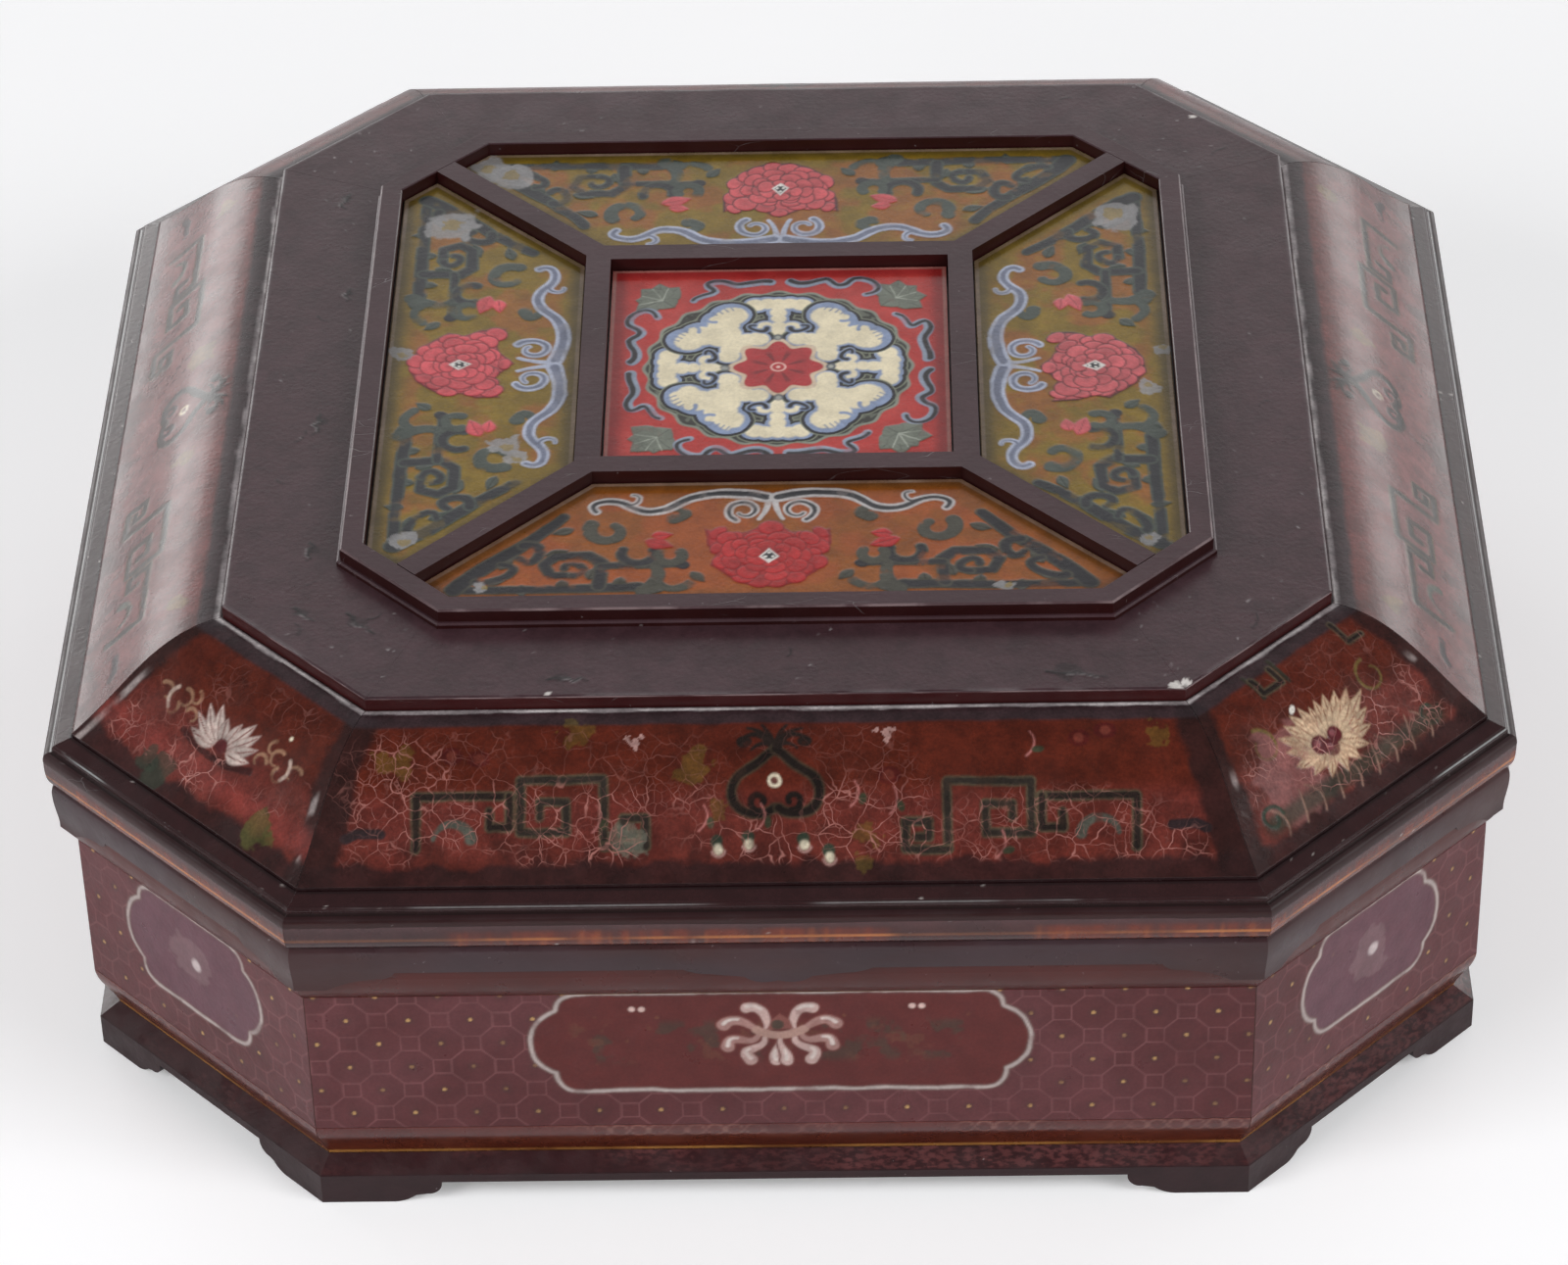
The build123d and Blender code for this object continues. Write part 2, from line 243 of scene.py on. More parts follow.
def spline(points, step):
    """Smooth curve through points, read at even steps along its length.

    Each coordinate is a cubic over the summed chord length: its second derivatives
    solve the usual three-band system, and the slope at either end is that of the
    polynomial through the four points nearest to it.
    """
    points = np.array(points, float)
    gaps = np.hypot(*np.diff(points, axis=0).T)
    knots = np.concatenate(([0], np.cumsum(gaps)))
    count = len(points)
    matrix = np.zeros((count, count))
    right = np.zeros_like(points)
    order = min(4, count)
    first = np.polyfit(knots[:order], points[:order], order - 1)[-2]
    last = np.polyfit(knots[-order:] - knots[-1], points[-order:], order - 1)[-2]
    matrix[0, :2] = 2 * gaps[0], gaps[0]
    matrix[-1, -2:] = gaps[-1], 2 * gaps[-1]
    inner = np.arange(1, count - 1)
    matrix[inner, inner - 1] = gaps[:-1]
    matrix[inner, inner] = 2 * (gaps[:-1] + gaps[1:])
    matrix[inner, inner + 1] = gaps[1:]
    slopes = np.diff(points, axis=0) / gaps[:, None]
    right[1:-1] = 6 * np.diff(slopes, axis=0)
    right[0] = 6 * (slopes[0] - first)
    right[-1] = 6 * (last - slopes[-1])
    bends = np.linalg.solve(matrix, right)
    dense = np.linspace(0, knots[-1], 60 * count)
    run = np.clip(np.searchsorted(knots, dense, side="right") - 1, 0, count - 2)
    ahead = (knots[run + 1] - dense)[:, None]
    behind = (dense - knots[run])[:, None]
    gap = gaps[run][:, None]
    curve = (
        bends[run] * ahead**3 / (6 * gap)
        + bends[run + 1] * behind**3 / (6 * gap)
        + (points[run] / gap - bends[run] * gap / 6) * ahead
        + (points[run + 1] / gap - bends[run + 1] * gap / 6) * behind
    )
    return even_steps(curve, step)


def even_steps(points, step):
    """A line through points, read at even steps along its length."""
    points = np.array(points, float)
    length = np.concatenate(([0], np.cumsum(np.hypot(*np.diff(points, axis=0).T))))
    count = max(2, int(round(length[-1] / step)) + 1)
    at = np.linspace(0, length[-1], count)
    return np.stack([np.interp(at, length, points[:, k]) for k in (0, 1)], -1)


def noise(x, y, scale, seed):
    """Smooth noise from 0 to 1: random lattice values blended by 3t^2 - 2t^3."""
    table = np.random.default_rng(seed).random((128, 128))
    across, up = x / scale, y / scale
    left, low = np.floor(across).astype(int), np.floor(up).astype(int)
    s, t = across - left, up - low
    s, t = s * s * (3 - 2 * s), t * t * (3 - 2 * t)
    bottom = table[low % 128, left % 128] * (1 - s) + table[low % 128, (left + 1) % 128] * s
    top = (
        table[(low + 1) % 128, left % 128] * (1 - s)
        + table[(low + 1) % 128, (left + 1) % 128] * s
    )
    return bottom * (1 - t) + top * t


def clouds(x, y, scale, seed, layers=4):
    """Sum of noise layers, each half as large and half as strong, from 0 to 1."""
    total = sum(noise(x, y, scale / 2**k, seed + k) / 2**k for k in range(layers))
    return total / (2 - 0.5 ** (layers - 1))


def ramp(value, low, high):
    """0 below low, 1 above high, and 3t^2 - 2t^3 between."""
    t = np.clip((value - low) / (high - low), 0, 1)
    return t * t * (3 - 2 * t)


def line_distance(x, y, points):
    """Distance to a line of straight runs, and the nearest place along it from 0 to 1."""
    points = np.array(points, float)
    best = np.full(x.shape, np.inf)
    place = np.zeros(x.shape)
    runs = len(points) - 1
    for k in range(runs):
        start, run = points[k], points[k + 1] - points[k]
        share = ((x - start[0]) * run[0] + (y - start[1]) * run[1]) / max(run @ run, 1e-9)
        share = np.clip(share, 0, 1)
        gap = np.hypot(x - start[0] - share * run[0], y - start[1] - share * run[1])
        nearer = gap < best
        best = np.where(nearer, gap, best)
        place = np.where(nearer, (k + share) / runs, place)
    return best, place


def inside(x, y, points):
    """True within a closed outline, by counting the edges crossed on the way right."""
    points = np.array(points, float)
    odd = np.zeros(x.shape, bool)
    for (x0, y0), (x1, y1) in zip(points, np.roll(points, -1, axis=0)):
        if y0 == y1:
            continue
        crosses = (y0 > y) != (y1 > y)
        odd ^= crosses & (x < (x1 - x0) * (y - y0) / (y1 - y0) + x0)
    return odd


def arc(centre, radius, start, end):
    """Points of an arc; angles in degrees."""
    angle = np.radians(np.linspace(start, end, 24))
    return np.stack([centre[0] + radius * np.cos(angle), centre[1] + radius * np.sin(angle)], -1)


def curl(centre, radius, start, turns, inner=0.25):
    """Points of a spiral whose radius shrinks evenly from radius to inner times it."""
    share = np.linspace(0, 1, 36)
    angle = np.radians(start) + 2 * math.pi * turns * share
    reach = radius * (1 - (1 - inner) * share)
    return np.stack([centre[0] + reach * np.cos(angle), centre[1] + reach * np.sin(angle)], -1)


def cos_sin(degrees):
    """Cosine and sine of an angle in degrees."""
    return math.cos(math.radians(degrees)), math.sin(math.radians(degrees))


def mirrored(points, sign, shift=0.0):
    """Points with their first coordinate mirrored when sign is -1, then shifted."""
    points = np.array(points, float)
    return points * np.array([sign, 1.0]) + np.array([shift, 0.0])


class Canvas:
    """Paint worked out at the points (u, v) of a grid, in millimetres.

    colour is the paint, crackle the strength of its cracks, relief its thickness
    in millimetres and worn the share of paint that has rubbed off at each point.
    """

    def __init__(self, u, v, ground, seed):
        self.u = u
        self.v = v
        self.seed = seed
        self.colour = np.ones(u.shape + (3,)) * np.array(ground)
        self.relief = np.zeros(u.shape)
        self.crackle = np.zeros(u.shape)
        self.worn = 0.55 * ramp(clouds(u, v, 5.0, seed), 0.56, 0.72)
        self.wobble_u = clouds(u, v, 7.0, seed + 20) - 0.5
        self.wobble_v = clouds(u, v, 7.0, seed + 40) - 0.5

    def lay(self, cover, colour, relief=0.0):
        """Lay a colour over everything, by cover from 0 to 1."""
        cover = np.clip(cover, 0, 1)
        self.colour += (as_colour(colour) - self.colour) * cover[..., None]
        self.relief = self.relief * (1 - cover) + np.maximum(self.relief, relief) * cover

    def near(self, points, reach):
        """Index of the grid points within reach of the box round points."""
        points = np.array(points, float)
        low, high = points.min(0) - reach, points.max(0) + reach
        return np.nonzero(
            (self.u > low[0]) & (self.u < high[0]) & (self.v > low[1]) & (self.v < high[1])
        )

    def lay_at(self, at, cover, colour, relief, wear):
        """Lay a colour at some grid points, thinned where the paint is worn."""
        cover = np.clip(cover * (1 - wear * self.worn[at]), 0, 1)
        self.colour[at] += (as_colour(colour) - self.colour[at]) * cover[:, None]
        self.relief[at] = self.relief[at] * (1 - cover) + relief * cover

    def stroke(self, points, width, colour, end_width=None, soft=0.35, relief=0.05, wear=1.0):
        """A brush stroke along a line, its width going from width to end_width."""
        end_width = width if end_width is None else end_width
        at = self.near(points, max(width, end_width) + soft)
        x = self.u[at] + self.wobble_u[at]
        y = self.v[at] + self.wobble_v[at]
        gap, place = line_distance(x, y, points)
        half = (width + (end_width - width) * place) / 2
        self.lay_at(at, ramp(half - gap, -soft, soft), colour, relief, wear)

    def fill(self, points, colour, soft=0.4, relief=0.04, wear=0.8):
        """A closed shape filled with a colour, soft at its edge."""
        at = self.near(points, soft + 1)
        x = self.u[at] + self.wobble_u[at]
        y = self.v[at] + self.wobble_v[at]
        closed = np.concatenate([points, points[:1]])
        gap = line_distance(x, y, closed)[0]
        signed = np.where(inside(x, y, points), gap, -gap)
        self.lay_at(at, ramp(signed, -soft, soft), colour, relief, wear)

    def spot(self, centre, radius, colour, squash=1.0, turn=0.0, soft=0.35, relief=0.04, wear=0.5):
        """An oval spot: squash is its height over its width, turn its lean in degrees."""
        at = self.near([centre], radius * max(1.0, squash) + soft + 1)
        x = self.u[at] + self.wobble_u[at] - centre[0]
        y = self.v[at] + self.wobble_v[at] - centre[1]
        c, s = cos_sin(turn)
        reach = np.hypot(c * x + s * y, (c * y - s * x) / squash)
        self.lay_at(at, ramp(radius - reach, -soft, soft), colour, relief, wear)

    def patch(self, centre, radius, colour, seed, ragged=0.5, cover=1.0):
        """A ragged patch: a spot whose edge is pushed in and out by noise."""
        at = self.near([centre], radius * 2)
        x, y = self.u[at], self.v[at]
        edge = clouds(x, y, radius * 0.8, seed)
        reach = np.hypot(x - centre[0], y - centre[1]) / radius
        share = ramp(1 + ragged * (edge - 0.5) * 3 - reach, 0, 0.18) * cover
        self.lay_at(at, share, colour, 0.0, 0.0)


# Surfaces


def side_axes(index):
    """Outward and lengthwise directions of a side; side 0 is the front."""
    angle = math.radians(45 * index)
    return (
        np.array([math.sin(angle), -math.cos(angle), 0.0]),
        np.array([math.cos(angle), math.sin(angle), 0.0]),
    )


def side_distance(index):
    """Distance from the centre to a side of the widest octagon."""
    return CORNER_DISTANCE if index % 2 else HALF_WIDTH


def half_length(index, offset):
    """Half the length of a side at an offset inward from the widest octagon."""
    return (SHORT_HALF if index % 2 else LONG_HALF) - TURN * offset


def developed(profile):
    """Length along a profile from its first point, at each of its points."""
    return np.concatenate(([0], np.cumsum(np.hypot(*np.diff(profile, axis=0).T))))


def strip_canvas(profile, lengths, step, ground, seed):
    """Canvas of a side: u runs along it and v up its profile.

    Row j is as long as twice lengths[j], and column i takes the share a_i of it,
    with a_i running evenly from -1 to 1, apart from the columns next to the ends.
    These lie close to the ends, so that the face is shaded smoothly right up to the
    mitre and doesn't turn pale there.
    """
    columns = max(3, int(round(2 * lengths.max() / step)) + 1)
    share = np.linspace(-1, 1, columns)
    share[1], share[-2] = -1 + GUARD / lengths.max(), 1 - GUARD / lengths.max()
    u = lengths[:, None] * share[None, :]
    v = np.repeat(developed(profile)[:, None], columns, axis=1)
    return Canvas(u, v, ground, seed)


def skin_object(name, index, distance, profile, canvas, lift, depth):
    """Closed thin skin over a strip of a side.

    A point lies at outward * (distance - offset) + along * u + up * height, moved
    along the profile's normal by the lift plus the paint's relief. The underside
    is the same strip, sunk by depth, with two points to a row.
    """
    outward, along = side_axes(index)
    tangent = np.gradient(profile, axis=0)
    tangent /= np.maximum(np.hypot(*tangent.T), 1e-9)[:, None]
    normal = outward * tangent[:, 1:2] + np.array([0.0, 0.0, 1.0]) * tangent[:, :1]
    rows = outward * (distance - profile[:, :1]) + np.array([0.0, 0.0, 1.0]) * profile[:, 1:2]
    row_count, column_count = canvas.u.shape
    top = (
        rows[:, None, :]
        + along * canvas.u[..., None]
        + normal[:, None, :] * (lift + canvas.relief)[..., None]
    )
    ends = canvas.u[:, [0, -1]]
    under = rows[:, None, :] + along * ends[..., None] - normal[:, None, :] * depth
    points = np.concatenate([top.reshape(-1, 3), under.reshape(-1, 3)]) * MM
    grid = np.arange(row_count * column_count).reshape(row_count, column_count)
    below = grid.size + np.arange(row_count * 2).reshape(row_count, 2)
    left, right = grid[:, 0], grid[:, -1]
    quads = np.concatenate(
        [
            quad_rows(grid[:-1, :-1], grid[:-1, 1:], grid[1:, 1:], grid[1:, :-1]),
            quad_rows(left[:-1], left[1:], below[1:, 0], below[:-1, 0]),
            quad_rows(right[1:], right[:-1], below[:-1, 1], below[1:, 1]),
            quad_rows(below[:-1, 0], below[1:, 0], below[1:, 1], below[:-1, 1]),
        ]
    ).tolist()
    quads.append([int(below[0, 0]), int(below[0, 1])] + grid[0, ::-1].tolist())
    quads.append([int(below[-1, 1]), int(below[-1, 0])] + grid[-1].tolist())
    mesh = bpy.data.meshes.new(name)
    mesh.from_pydata(points, [], quads)
    paint = mesh.color_attributes.new("paint", "FLOAT_COLOR", "POINT")
    values = np.zeros((len(points), 4), np.float32)
    values[: grid.size, :3] = canvas.colour.reshape(-1, 3)
    values[: grid.size, 3] = canvas.crackle.ravel()
    values[grid.size :, :3] = canvas.colour.reshape(-1, 3).mean(0)
    paint.data.foreach_set("color", values.ravel())
    smooth = np.zeros(len(mesh.polygons), bool)
    smooth[: (row_count - 1) * (column_count - 1)] = True
    mesh.polygons.foreach_set("use_smooth", smooth)
    piece = bpy.data.objects.new(name, mesh)
    bpy.context.scene.collection.objects.link(piece)
    return piece


def quad_rows(*corners):
    """Four equally shaped index arrays as rows of four."""
    return np.stack([c.ravel() for c in corners], -1)


def mount_skin(kind, index, profile, canvas, material, body, slot, **places):
    """Make a side's skin, and give it its material and its body; its slot argument is not used.

    index is None for a piece that lies in the middle. places may hold a distance, a
    lift and a depth of its own, in millimetres.
    """
    piece = skin_object(
        kind if index is None else f"{kind}_{SIDES[index]}",
        index or 0,
        places.get("distance", side_distance(index or 0)),
        profile,
        canvas,
        places.get("lift", sizes().skin_lift / MM),
        places.get("depth", sizes().skin_depth / MM),
    )
    piece.data.materials.append(material)
    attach(piece, body)


def grid_step(index):
    """Grid step of a side's skin: fine at the front and its chamfers."""
    return (sizes().fine_step if index in FINE_SIDES else sizes().plain_step) / MM


# Materials


def new_tree(name):
    """A material with an empty node tree."""
    material = bpy.data.materials.new(name)
    material.use_nodes = True
    material.node_tree.nodes.clear()
    return material, material.node_tree


def put(tree, kind, inputs=None, **settings):
    """Add a node, set its settings, and set or link its inputs."""
    node = tree.nodes.new(kind)
    for key, value in settings.items():
        setattr(node, key, value)
    for key, value in (inputs or {}).items():
        if isinstance(value, bpy.types.NodeSocket):
            tree.links.new(value, node.inputs[key])
        else:
            node.inputs[key].default_value = value
    return node


def maths(tree, operation, *values):
    """Result of a Math node."""
    node = put(tree, "ShaderNodeMath", operation=operation)
    for socket, value in zip(node.inputs, values):
        if isinstance(value, bpy.types.NodeSocket):
            tree.links.new(value, socket)
        else:
            socket.default_value = value
    return node.outputs[0]


def product(tree, *values):
    """Product of two or more values, by Math nodes."""
    result = values[0]
    for value in values[1:]:
        result = maths(tree, "MULTIPLY", result, value)
    return result


def mixed(tree, share, first, second, kind="MIX"):
    """Colour between first and second; kind is the way they are combined."""
    node = put(tree, "ShaderNodeMix", data_type="RGBA", blend_type=kind)
    for socket, value in zip(
        (node.inputs[0], node.inputs[6], node.inputs[7]), (share, first, second)
    ):
        if isinstance(value, bpy.types.NodeSocket):
            tree.links.new(value, socket)
        elif np.ndim(value):
            socket.default_value = (*[float(x) for x in value][:3], 1.0)
        else:
            socket.default_value = value
    return node.outputs[2]


def noisy(tree, vector, size, detail=4.0):
    """Noise from 0 to 1 whose features are about size metres across."""
    node = put(
        tree,
        "ShaderNodeTexNoise",
        {"Vector": vector, "Scale": 1 / size, "Detail": detail, "Roughness": 0.55},
    )
    return node.outputs[0]


def spread(tree, value, low, high, to_low=0.0, to_high=1.0):
    """A value mapped smoothly from one range to another, and clamped."""
    node = put(
        tree,
        "ShaderNodeMapRange",
        {"Value": value, "From Min": low, "From Max": high, "To Min": to_low, "To Max": to_high},
        interpolation_type="SMOOTHSTEP",
    )
    return node.outputs[0]


def grey(tree, value):
    """A value as a grey colour."""
    return put(tree, "ShaderNodeCombineColor", {0: value, 1: value, 2: value}).outputs[0]


def stretched(tree, vector, scale):
    """Coordinates stretched along each axis."""
    return put(tree, "ShaderNodeMapping", {"Vector": vector, "Scale": scale}).outputs[0]


def crack_lines(tree, vector, size, width):
    """Net of cracks: 1 on the edges of warped cells about size metres across."""
    warp = put(
        tree,
        "ShaderNodeTexNoise",
        {"Vector": vector, "Scale": 0.9 / size, "Detail": 2.0, "Roughness": 0.5},
    )
    moved = put(
        tree,
        "ShaderNodeVectorMath",
        {0: warp.outputs[1], 1: (size * 0.8,) * 3, 2: vector},
        operation="MULTIPLY_ADD",
    )
    cells = put(
        tree,
        "ShaderNodeTexVoronoi",
        {"Vector": moved.outputs[0], "Scale": 1 / size},
        feature="DISTANCE_TO_EDGE",
    )
    return spread(tree, cells.outputs["Distance"], 0.0, width, 1.0, 0.0)


def shader_out(tree, colour, roughness, bump, bump_height, coat=0.0, specular=0.4):
    """Principled shader and output: coat values are set on the sockets themselves."""
    normal = put(
        tree, "ShaderNodeBump", {"Height": bump, "Distance": bump_height, "Strength": 0.6}
    ).outputs[0]
    shader = put(
        tree,
        "ShaderNodeBsdfPrincipled",
        {
            "Base Color": colour,
            "Roughness": roughness,
            "Normal": normal,
            "Coat Weight": coat,
            "Coat Roughness": 0.12,
            "Specular IOR Level": specular,
        },
    )
    put(tree, "ShaderNodeOutputMaterial", {"Surface": shader.outputs[0]})


def painted_lacquer(name, crack_colour, rough, coat=0.0, mottle=0.2, specular=0.4):
    """Paint from the piece's own attribute, mottled, crackled and unevenly glossy."""
    material, tree = new_tree(name)
    place = put(tree, "ShaderNodeTexCoord").outputs["Object"]
    paint = put(tree, "ShaderNodeAttribute", attribute_name="paint")
    size = sizes().crack_size
    shade = spread(tree, noisy(tree, place, 6 * MM), 0.3, 0.7, 1 - mottle, 1 + mottle)
    fine = spread(
        tree, noisy(tree, place, 0.9 * MM, 3.0), 0.3, 0.7, 1 - 0.6 * mottle, 1 + 0.6 * mottle
    )
    colour = mixed(
        tree, 1.0, paint.outputs["Color"], grey(tree, product(tree, shade, fine)), "MULTIPLY"
    )
    net = crack_lines(tree, place, size, 0.04)
    small = crack_lines(tree, place, size * 0.5, 0.06)
    broken = spread(tree, noisy(tree, place, 9 * MM), 0.42, 0.6)
    lines = maths(tree, "MAXIMUM", net, product(tree, small, product(tree, broken, 0.6)))
    fade = spread(tree, noisy(tree, place, 5 * MM), 0.35, 0.65, 0.35, 0.9)
    cover = product(tree, product(tree, lines, fade), paint.outputs["Alpha"])
    colour = mixed(tree, cover, colour, crack_colour)
    gloss = spread(tree, noisy(tree, place, 14 * MM), 0.3, 0.7, rough * 0.8, rough * 1.25)
    height = maths(tree, "SUBTRACT", noisy(tree, place, 1.6 * MM), product(tree, cover, 0.5))
    shader_out(tree, colour, gloss, height, 0.12 * MM, coat, specular)
    return material


def octagon_offset(tree, place, half, cut):
    """Distance outside an octagon round the vertical axis, in metres.

    It is the larger of max(|x|, |y|) - half and (|x| + |y|) / sqrt(2) less the
    distance of the cut corners.
    """
    split = put(tree, "ShaderNodeSeparateXYZ", {0: place})
    x = maths(tree, "ABSOLUTE", split.outputs[0])
    y = maths(tree, "ABSOLUTE", split.outputs[1])
    straight = maths(tree, "SUBTRACT", maths(tree, "MAXIMUM", x, y), half)
    slanted = product(tree, maths(tree, "ADD", x, y), math.sqrt(0.5))
    slanted = maths(tree, "SUBTRACT", slanted, (2 * half - cut) * math.sqrt(0.5))
    return maths(tree, "MAXIMUM", straight, slanted), split.outputs[2]


def upright_share(tree):
    """1 on upright faces and 0 on level ones."""
    normal = put(tree, "ShaderNodeNewGeometry").outputs["True Normal"]
    up = put(tree, "ShaderNodeSeparateXYZ", {0: normal}).outputs[2]
    return spread(tree, maths(tree, "ABSOLUTE", up), 0.3, 0.55, 1.0, 0.0)


def dark_lacquer(name, ground, upright, rough, worn_and_lit_at=()):
    """Dark satin lacquer: mottled, finely cracked and scratched, with pale rubbed and highlit
    edges.

    worn_and_lit_at holds (half, cut, height) of the octagonal edges painted pale for wear and
    highlight.
    """
    material, tree = new_tree(name)
    place = put(tree, "ShaderNodeTexCoord").outputs["Object"]
    shade = spread(tree, noisy(tree, place, 30 * MM), 0.3, 0.7, 0.86, 1.16)
    fine = spread(tree, noisy(tree, place, 1.2 * MM, 3.0), 0.25, 0.75, 0.93, 1.08)
    base = mixed(tree, upright_share(tree), ground, upright)
    colour = mixed(tree, 1.0, base, grey(tree, product(tree, shade, fine)), "MULTIPLY")
    cracks = crack_lines(tree, stretched(tree, place, (0.35, 1.0, 1.0)), 9 * MM, 0.012)
    sparse = spread(tree, noisy(tree, place, 22 * MM), 0.56, 0.66)
    cracks = product(tree, cracks, sparse)
    colour = mixed(tree, product(tree, cracks, 0.45), colour, colour_of("worn") * 0.45)
    specks = spread(tree, noisy(tree, place, 2.2 * MM, 2.0), 0.74, 0.78)
    colour = mixed(tree, product(tree, specks, 0.22), colour, colour_of("worn"))
    # Pale pinkish line along each given edge: rubbed paint and a painted highlight
    for half, cut, height in worn_and_lit_at:
        gap, level = octagon_offset(tree, place, half * MM, cut * MM)
        away = maths(tree, "ABSOLUTE", gap)
        over = maths(tree, "ABSOLUTE", maths(tree, "SUBTRACT", level, height * MM))
        near = spread(tree, maths(tree, "MAXIMUM", away, over), 0.25 * MM, 0.75 * MM, 1.0, 0.0)
        patchy = spread(tree, noisy(tree, place, 16 * MM), 0.42, 0.62, 0.15, 0.9)
        share = product(tree, near, patchy)
        colour = mixed(tree, share, colour, colour_of("worn") * np.array([0.62, 0.5, 0.5]))
    scratches = noisy(tree, stretched(tree, place, (0.2, 3.0, 1.0)), 3 * MM, 2.0)
    gloss = spread(tree, noisy(tree, place, 12 * MM), 0.3, 0.7, rough * 0.82, rough * 1.2)
    height = maths(tree, "ADD", noisy(tree, place, 2.4 * MM), product(tree, scratches, 0.3))
    height = maths(tree, "SUBTRACT", height, cracks)
    shader_out(tree, colour, gloss, height, 0.1 * MM)
    return material


def waist_lacquer():
    """Greyish lip, and behind its face a deep red hollow that is partly painted shade under the
    lip; its top edge is painted shade under the rim.
    """
    material, tree = new_tree("waist_lacquer")
    place = put(tree, "ShaderNodeTexCoord").outputs["Object"]
    gap, level = octagon_offset(tree, place, HALF_WIDTH * MM, CORNER_CUT * MM)
    # The hollow's deep red is partly its own lacquer and partly painted shade under the lip
    behind = spread(tree, gap, LIP_BACK[0] * MM, LIP_BACK[1] * MM, 1.0, 0.0)
    lower = spread(tree, level, LIP_FOOT[0] * MM, LIP_FOOT[1] * MM, 1.0, 0.0)
    hollow = product(tree, behind, lower)
    shade = spread(tree, noisy(tree, place, 24 * MM), 0.3, 0.7, 0.88, 1.14)
    reddish = spread(
        tree, noisy(tree, stretched(tree, place, (0.3, 0.3, 1.0)), 30 * MM), 0.4, 0.62
    )
    lip = mixed(tree, reddish, linear("38252a"), linear("3a1c1c"))
    # Painted shade: the lip's top edge is darkened where it lies under the lid's rim
    edge = spread(tree, level, LIP_TOP[0] * MM, LIP_TOP[1] * MM)
    lip = mixed(tree, edge, lip, linear("2a0f0c"))
    colour = mixed(tree, hollow, lip, linear("4a1510"))
    colour = mixed(tree, 1.0, colour, grey(tree, shade), "MULTIPLY")
    specks = spread(tree, noisy(tree, place, 1.8 * MM, 2.0), 0.72, 0.78)
    colour = mixed(tree, product(tree, specks, 0.25), colour, colour_of("worn"))
    gloss = spread(tree, noisy(tree, place, 10 * MM), 0.3, 0.7, 0.26, 0.42)
    shader_out(tree, colour, gloss, noisy(tree, place, 2.2 * MM), 0.1 * MM, 0.15)
    return material


def plinth_lacquer():
    """Near-black feet with a redder, scuffed slope above the arris."""
    material, tree = new_tree("plinth_lacquer")
    place = put(tree, "ShaderNodeTexCoord").outputs["Object"]
    level = put(tree, "ShaderNodeSeparateXYZ", {0: place}).outputs[2]
    slope = spread(tree, level, PLINTH_ARRIS * MM, (PLINTH_ARRIS + 0.5) * MM)
    broad = spread(tree, noisy(tree, stretched(tree, place, (0.3, 0.3, 1.0)), 22 * MM), 0.42, 0.62)
    fine = spread(tree, noisy(tree, stretched(tree, place, (0.6, 0.6, 2.0)), 1.4 * MM), 0.4, 0.62)
    scuffs = product(tree, broad, fine)
    colour = mixed(tree, product(tree, slope, 0.75), colour_of("plinth"), linear("34171a"))
    colour = mixed(
        tree, product(tree, product(tree, scuffs, slope), 0.6), colour, linear("6b3c3c")
    )
    shade = spread(tree, noisy(tree, place, 8 * MM), 0.3, 0.7, 0.85, 1.15)
    colour = mixed(tree, 1.0, colour, grey(tree, shade), "MULTIPLY")
    chips = spread(tree, noisy(tree, place, 2.6 * MM, 2.0), 0.75, 0.79)
    colour = mixed(tree, product(tree, chips, 0.5), colour, colour_of("worn"))
    gloss = spread(tree, noisy(tree, place, 9 * MM), 0.3, 0.7, 0.3, 0.5)
    shader_out(tree, colour, gloss, noisy(tree, place, 1.8 * MM), 0.15 * MM)
    return material


def inside_lacquer():
    """Plain dark red lacquer of the inside, brushed along its boards."""
    material, tree = new_tree("inside_lacquer")
    place = put(tree, "ShaderNodeTexCoord").outputs["Object"]
    brushed = noisy(tree, stretched(tree, place, (1.0, 1.0, 0.15)), 4 * MM)
    shade = spread(tree, brushed, 0.3, 0.7, 0.8, 1.2)
    colour = mixed(tree, 1.0, colour_of("inside"), grey(tree, shade), "MULTIPLY")
    gloss = spread(tree, noisy(tree, place, 18 * MM), 0.3, 0.7, 0.4, 0.58)
    shader_out(tree, colour, gloss, brushed, 0.1 * MM)
    return material


# Ornament


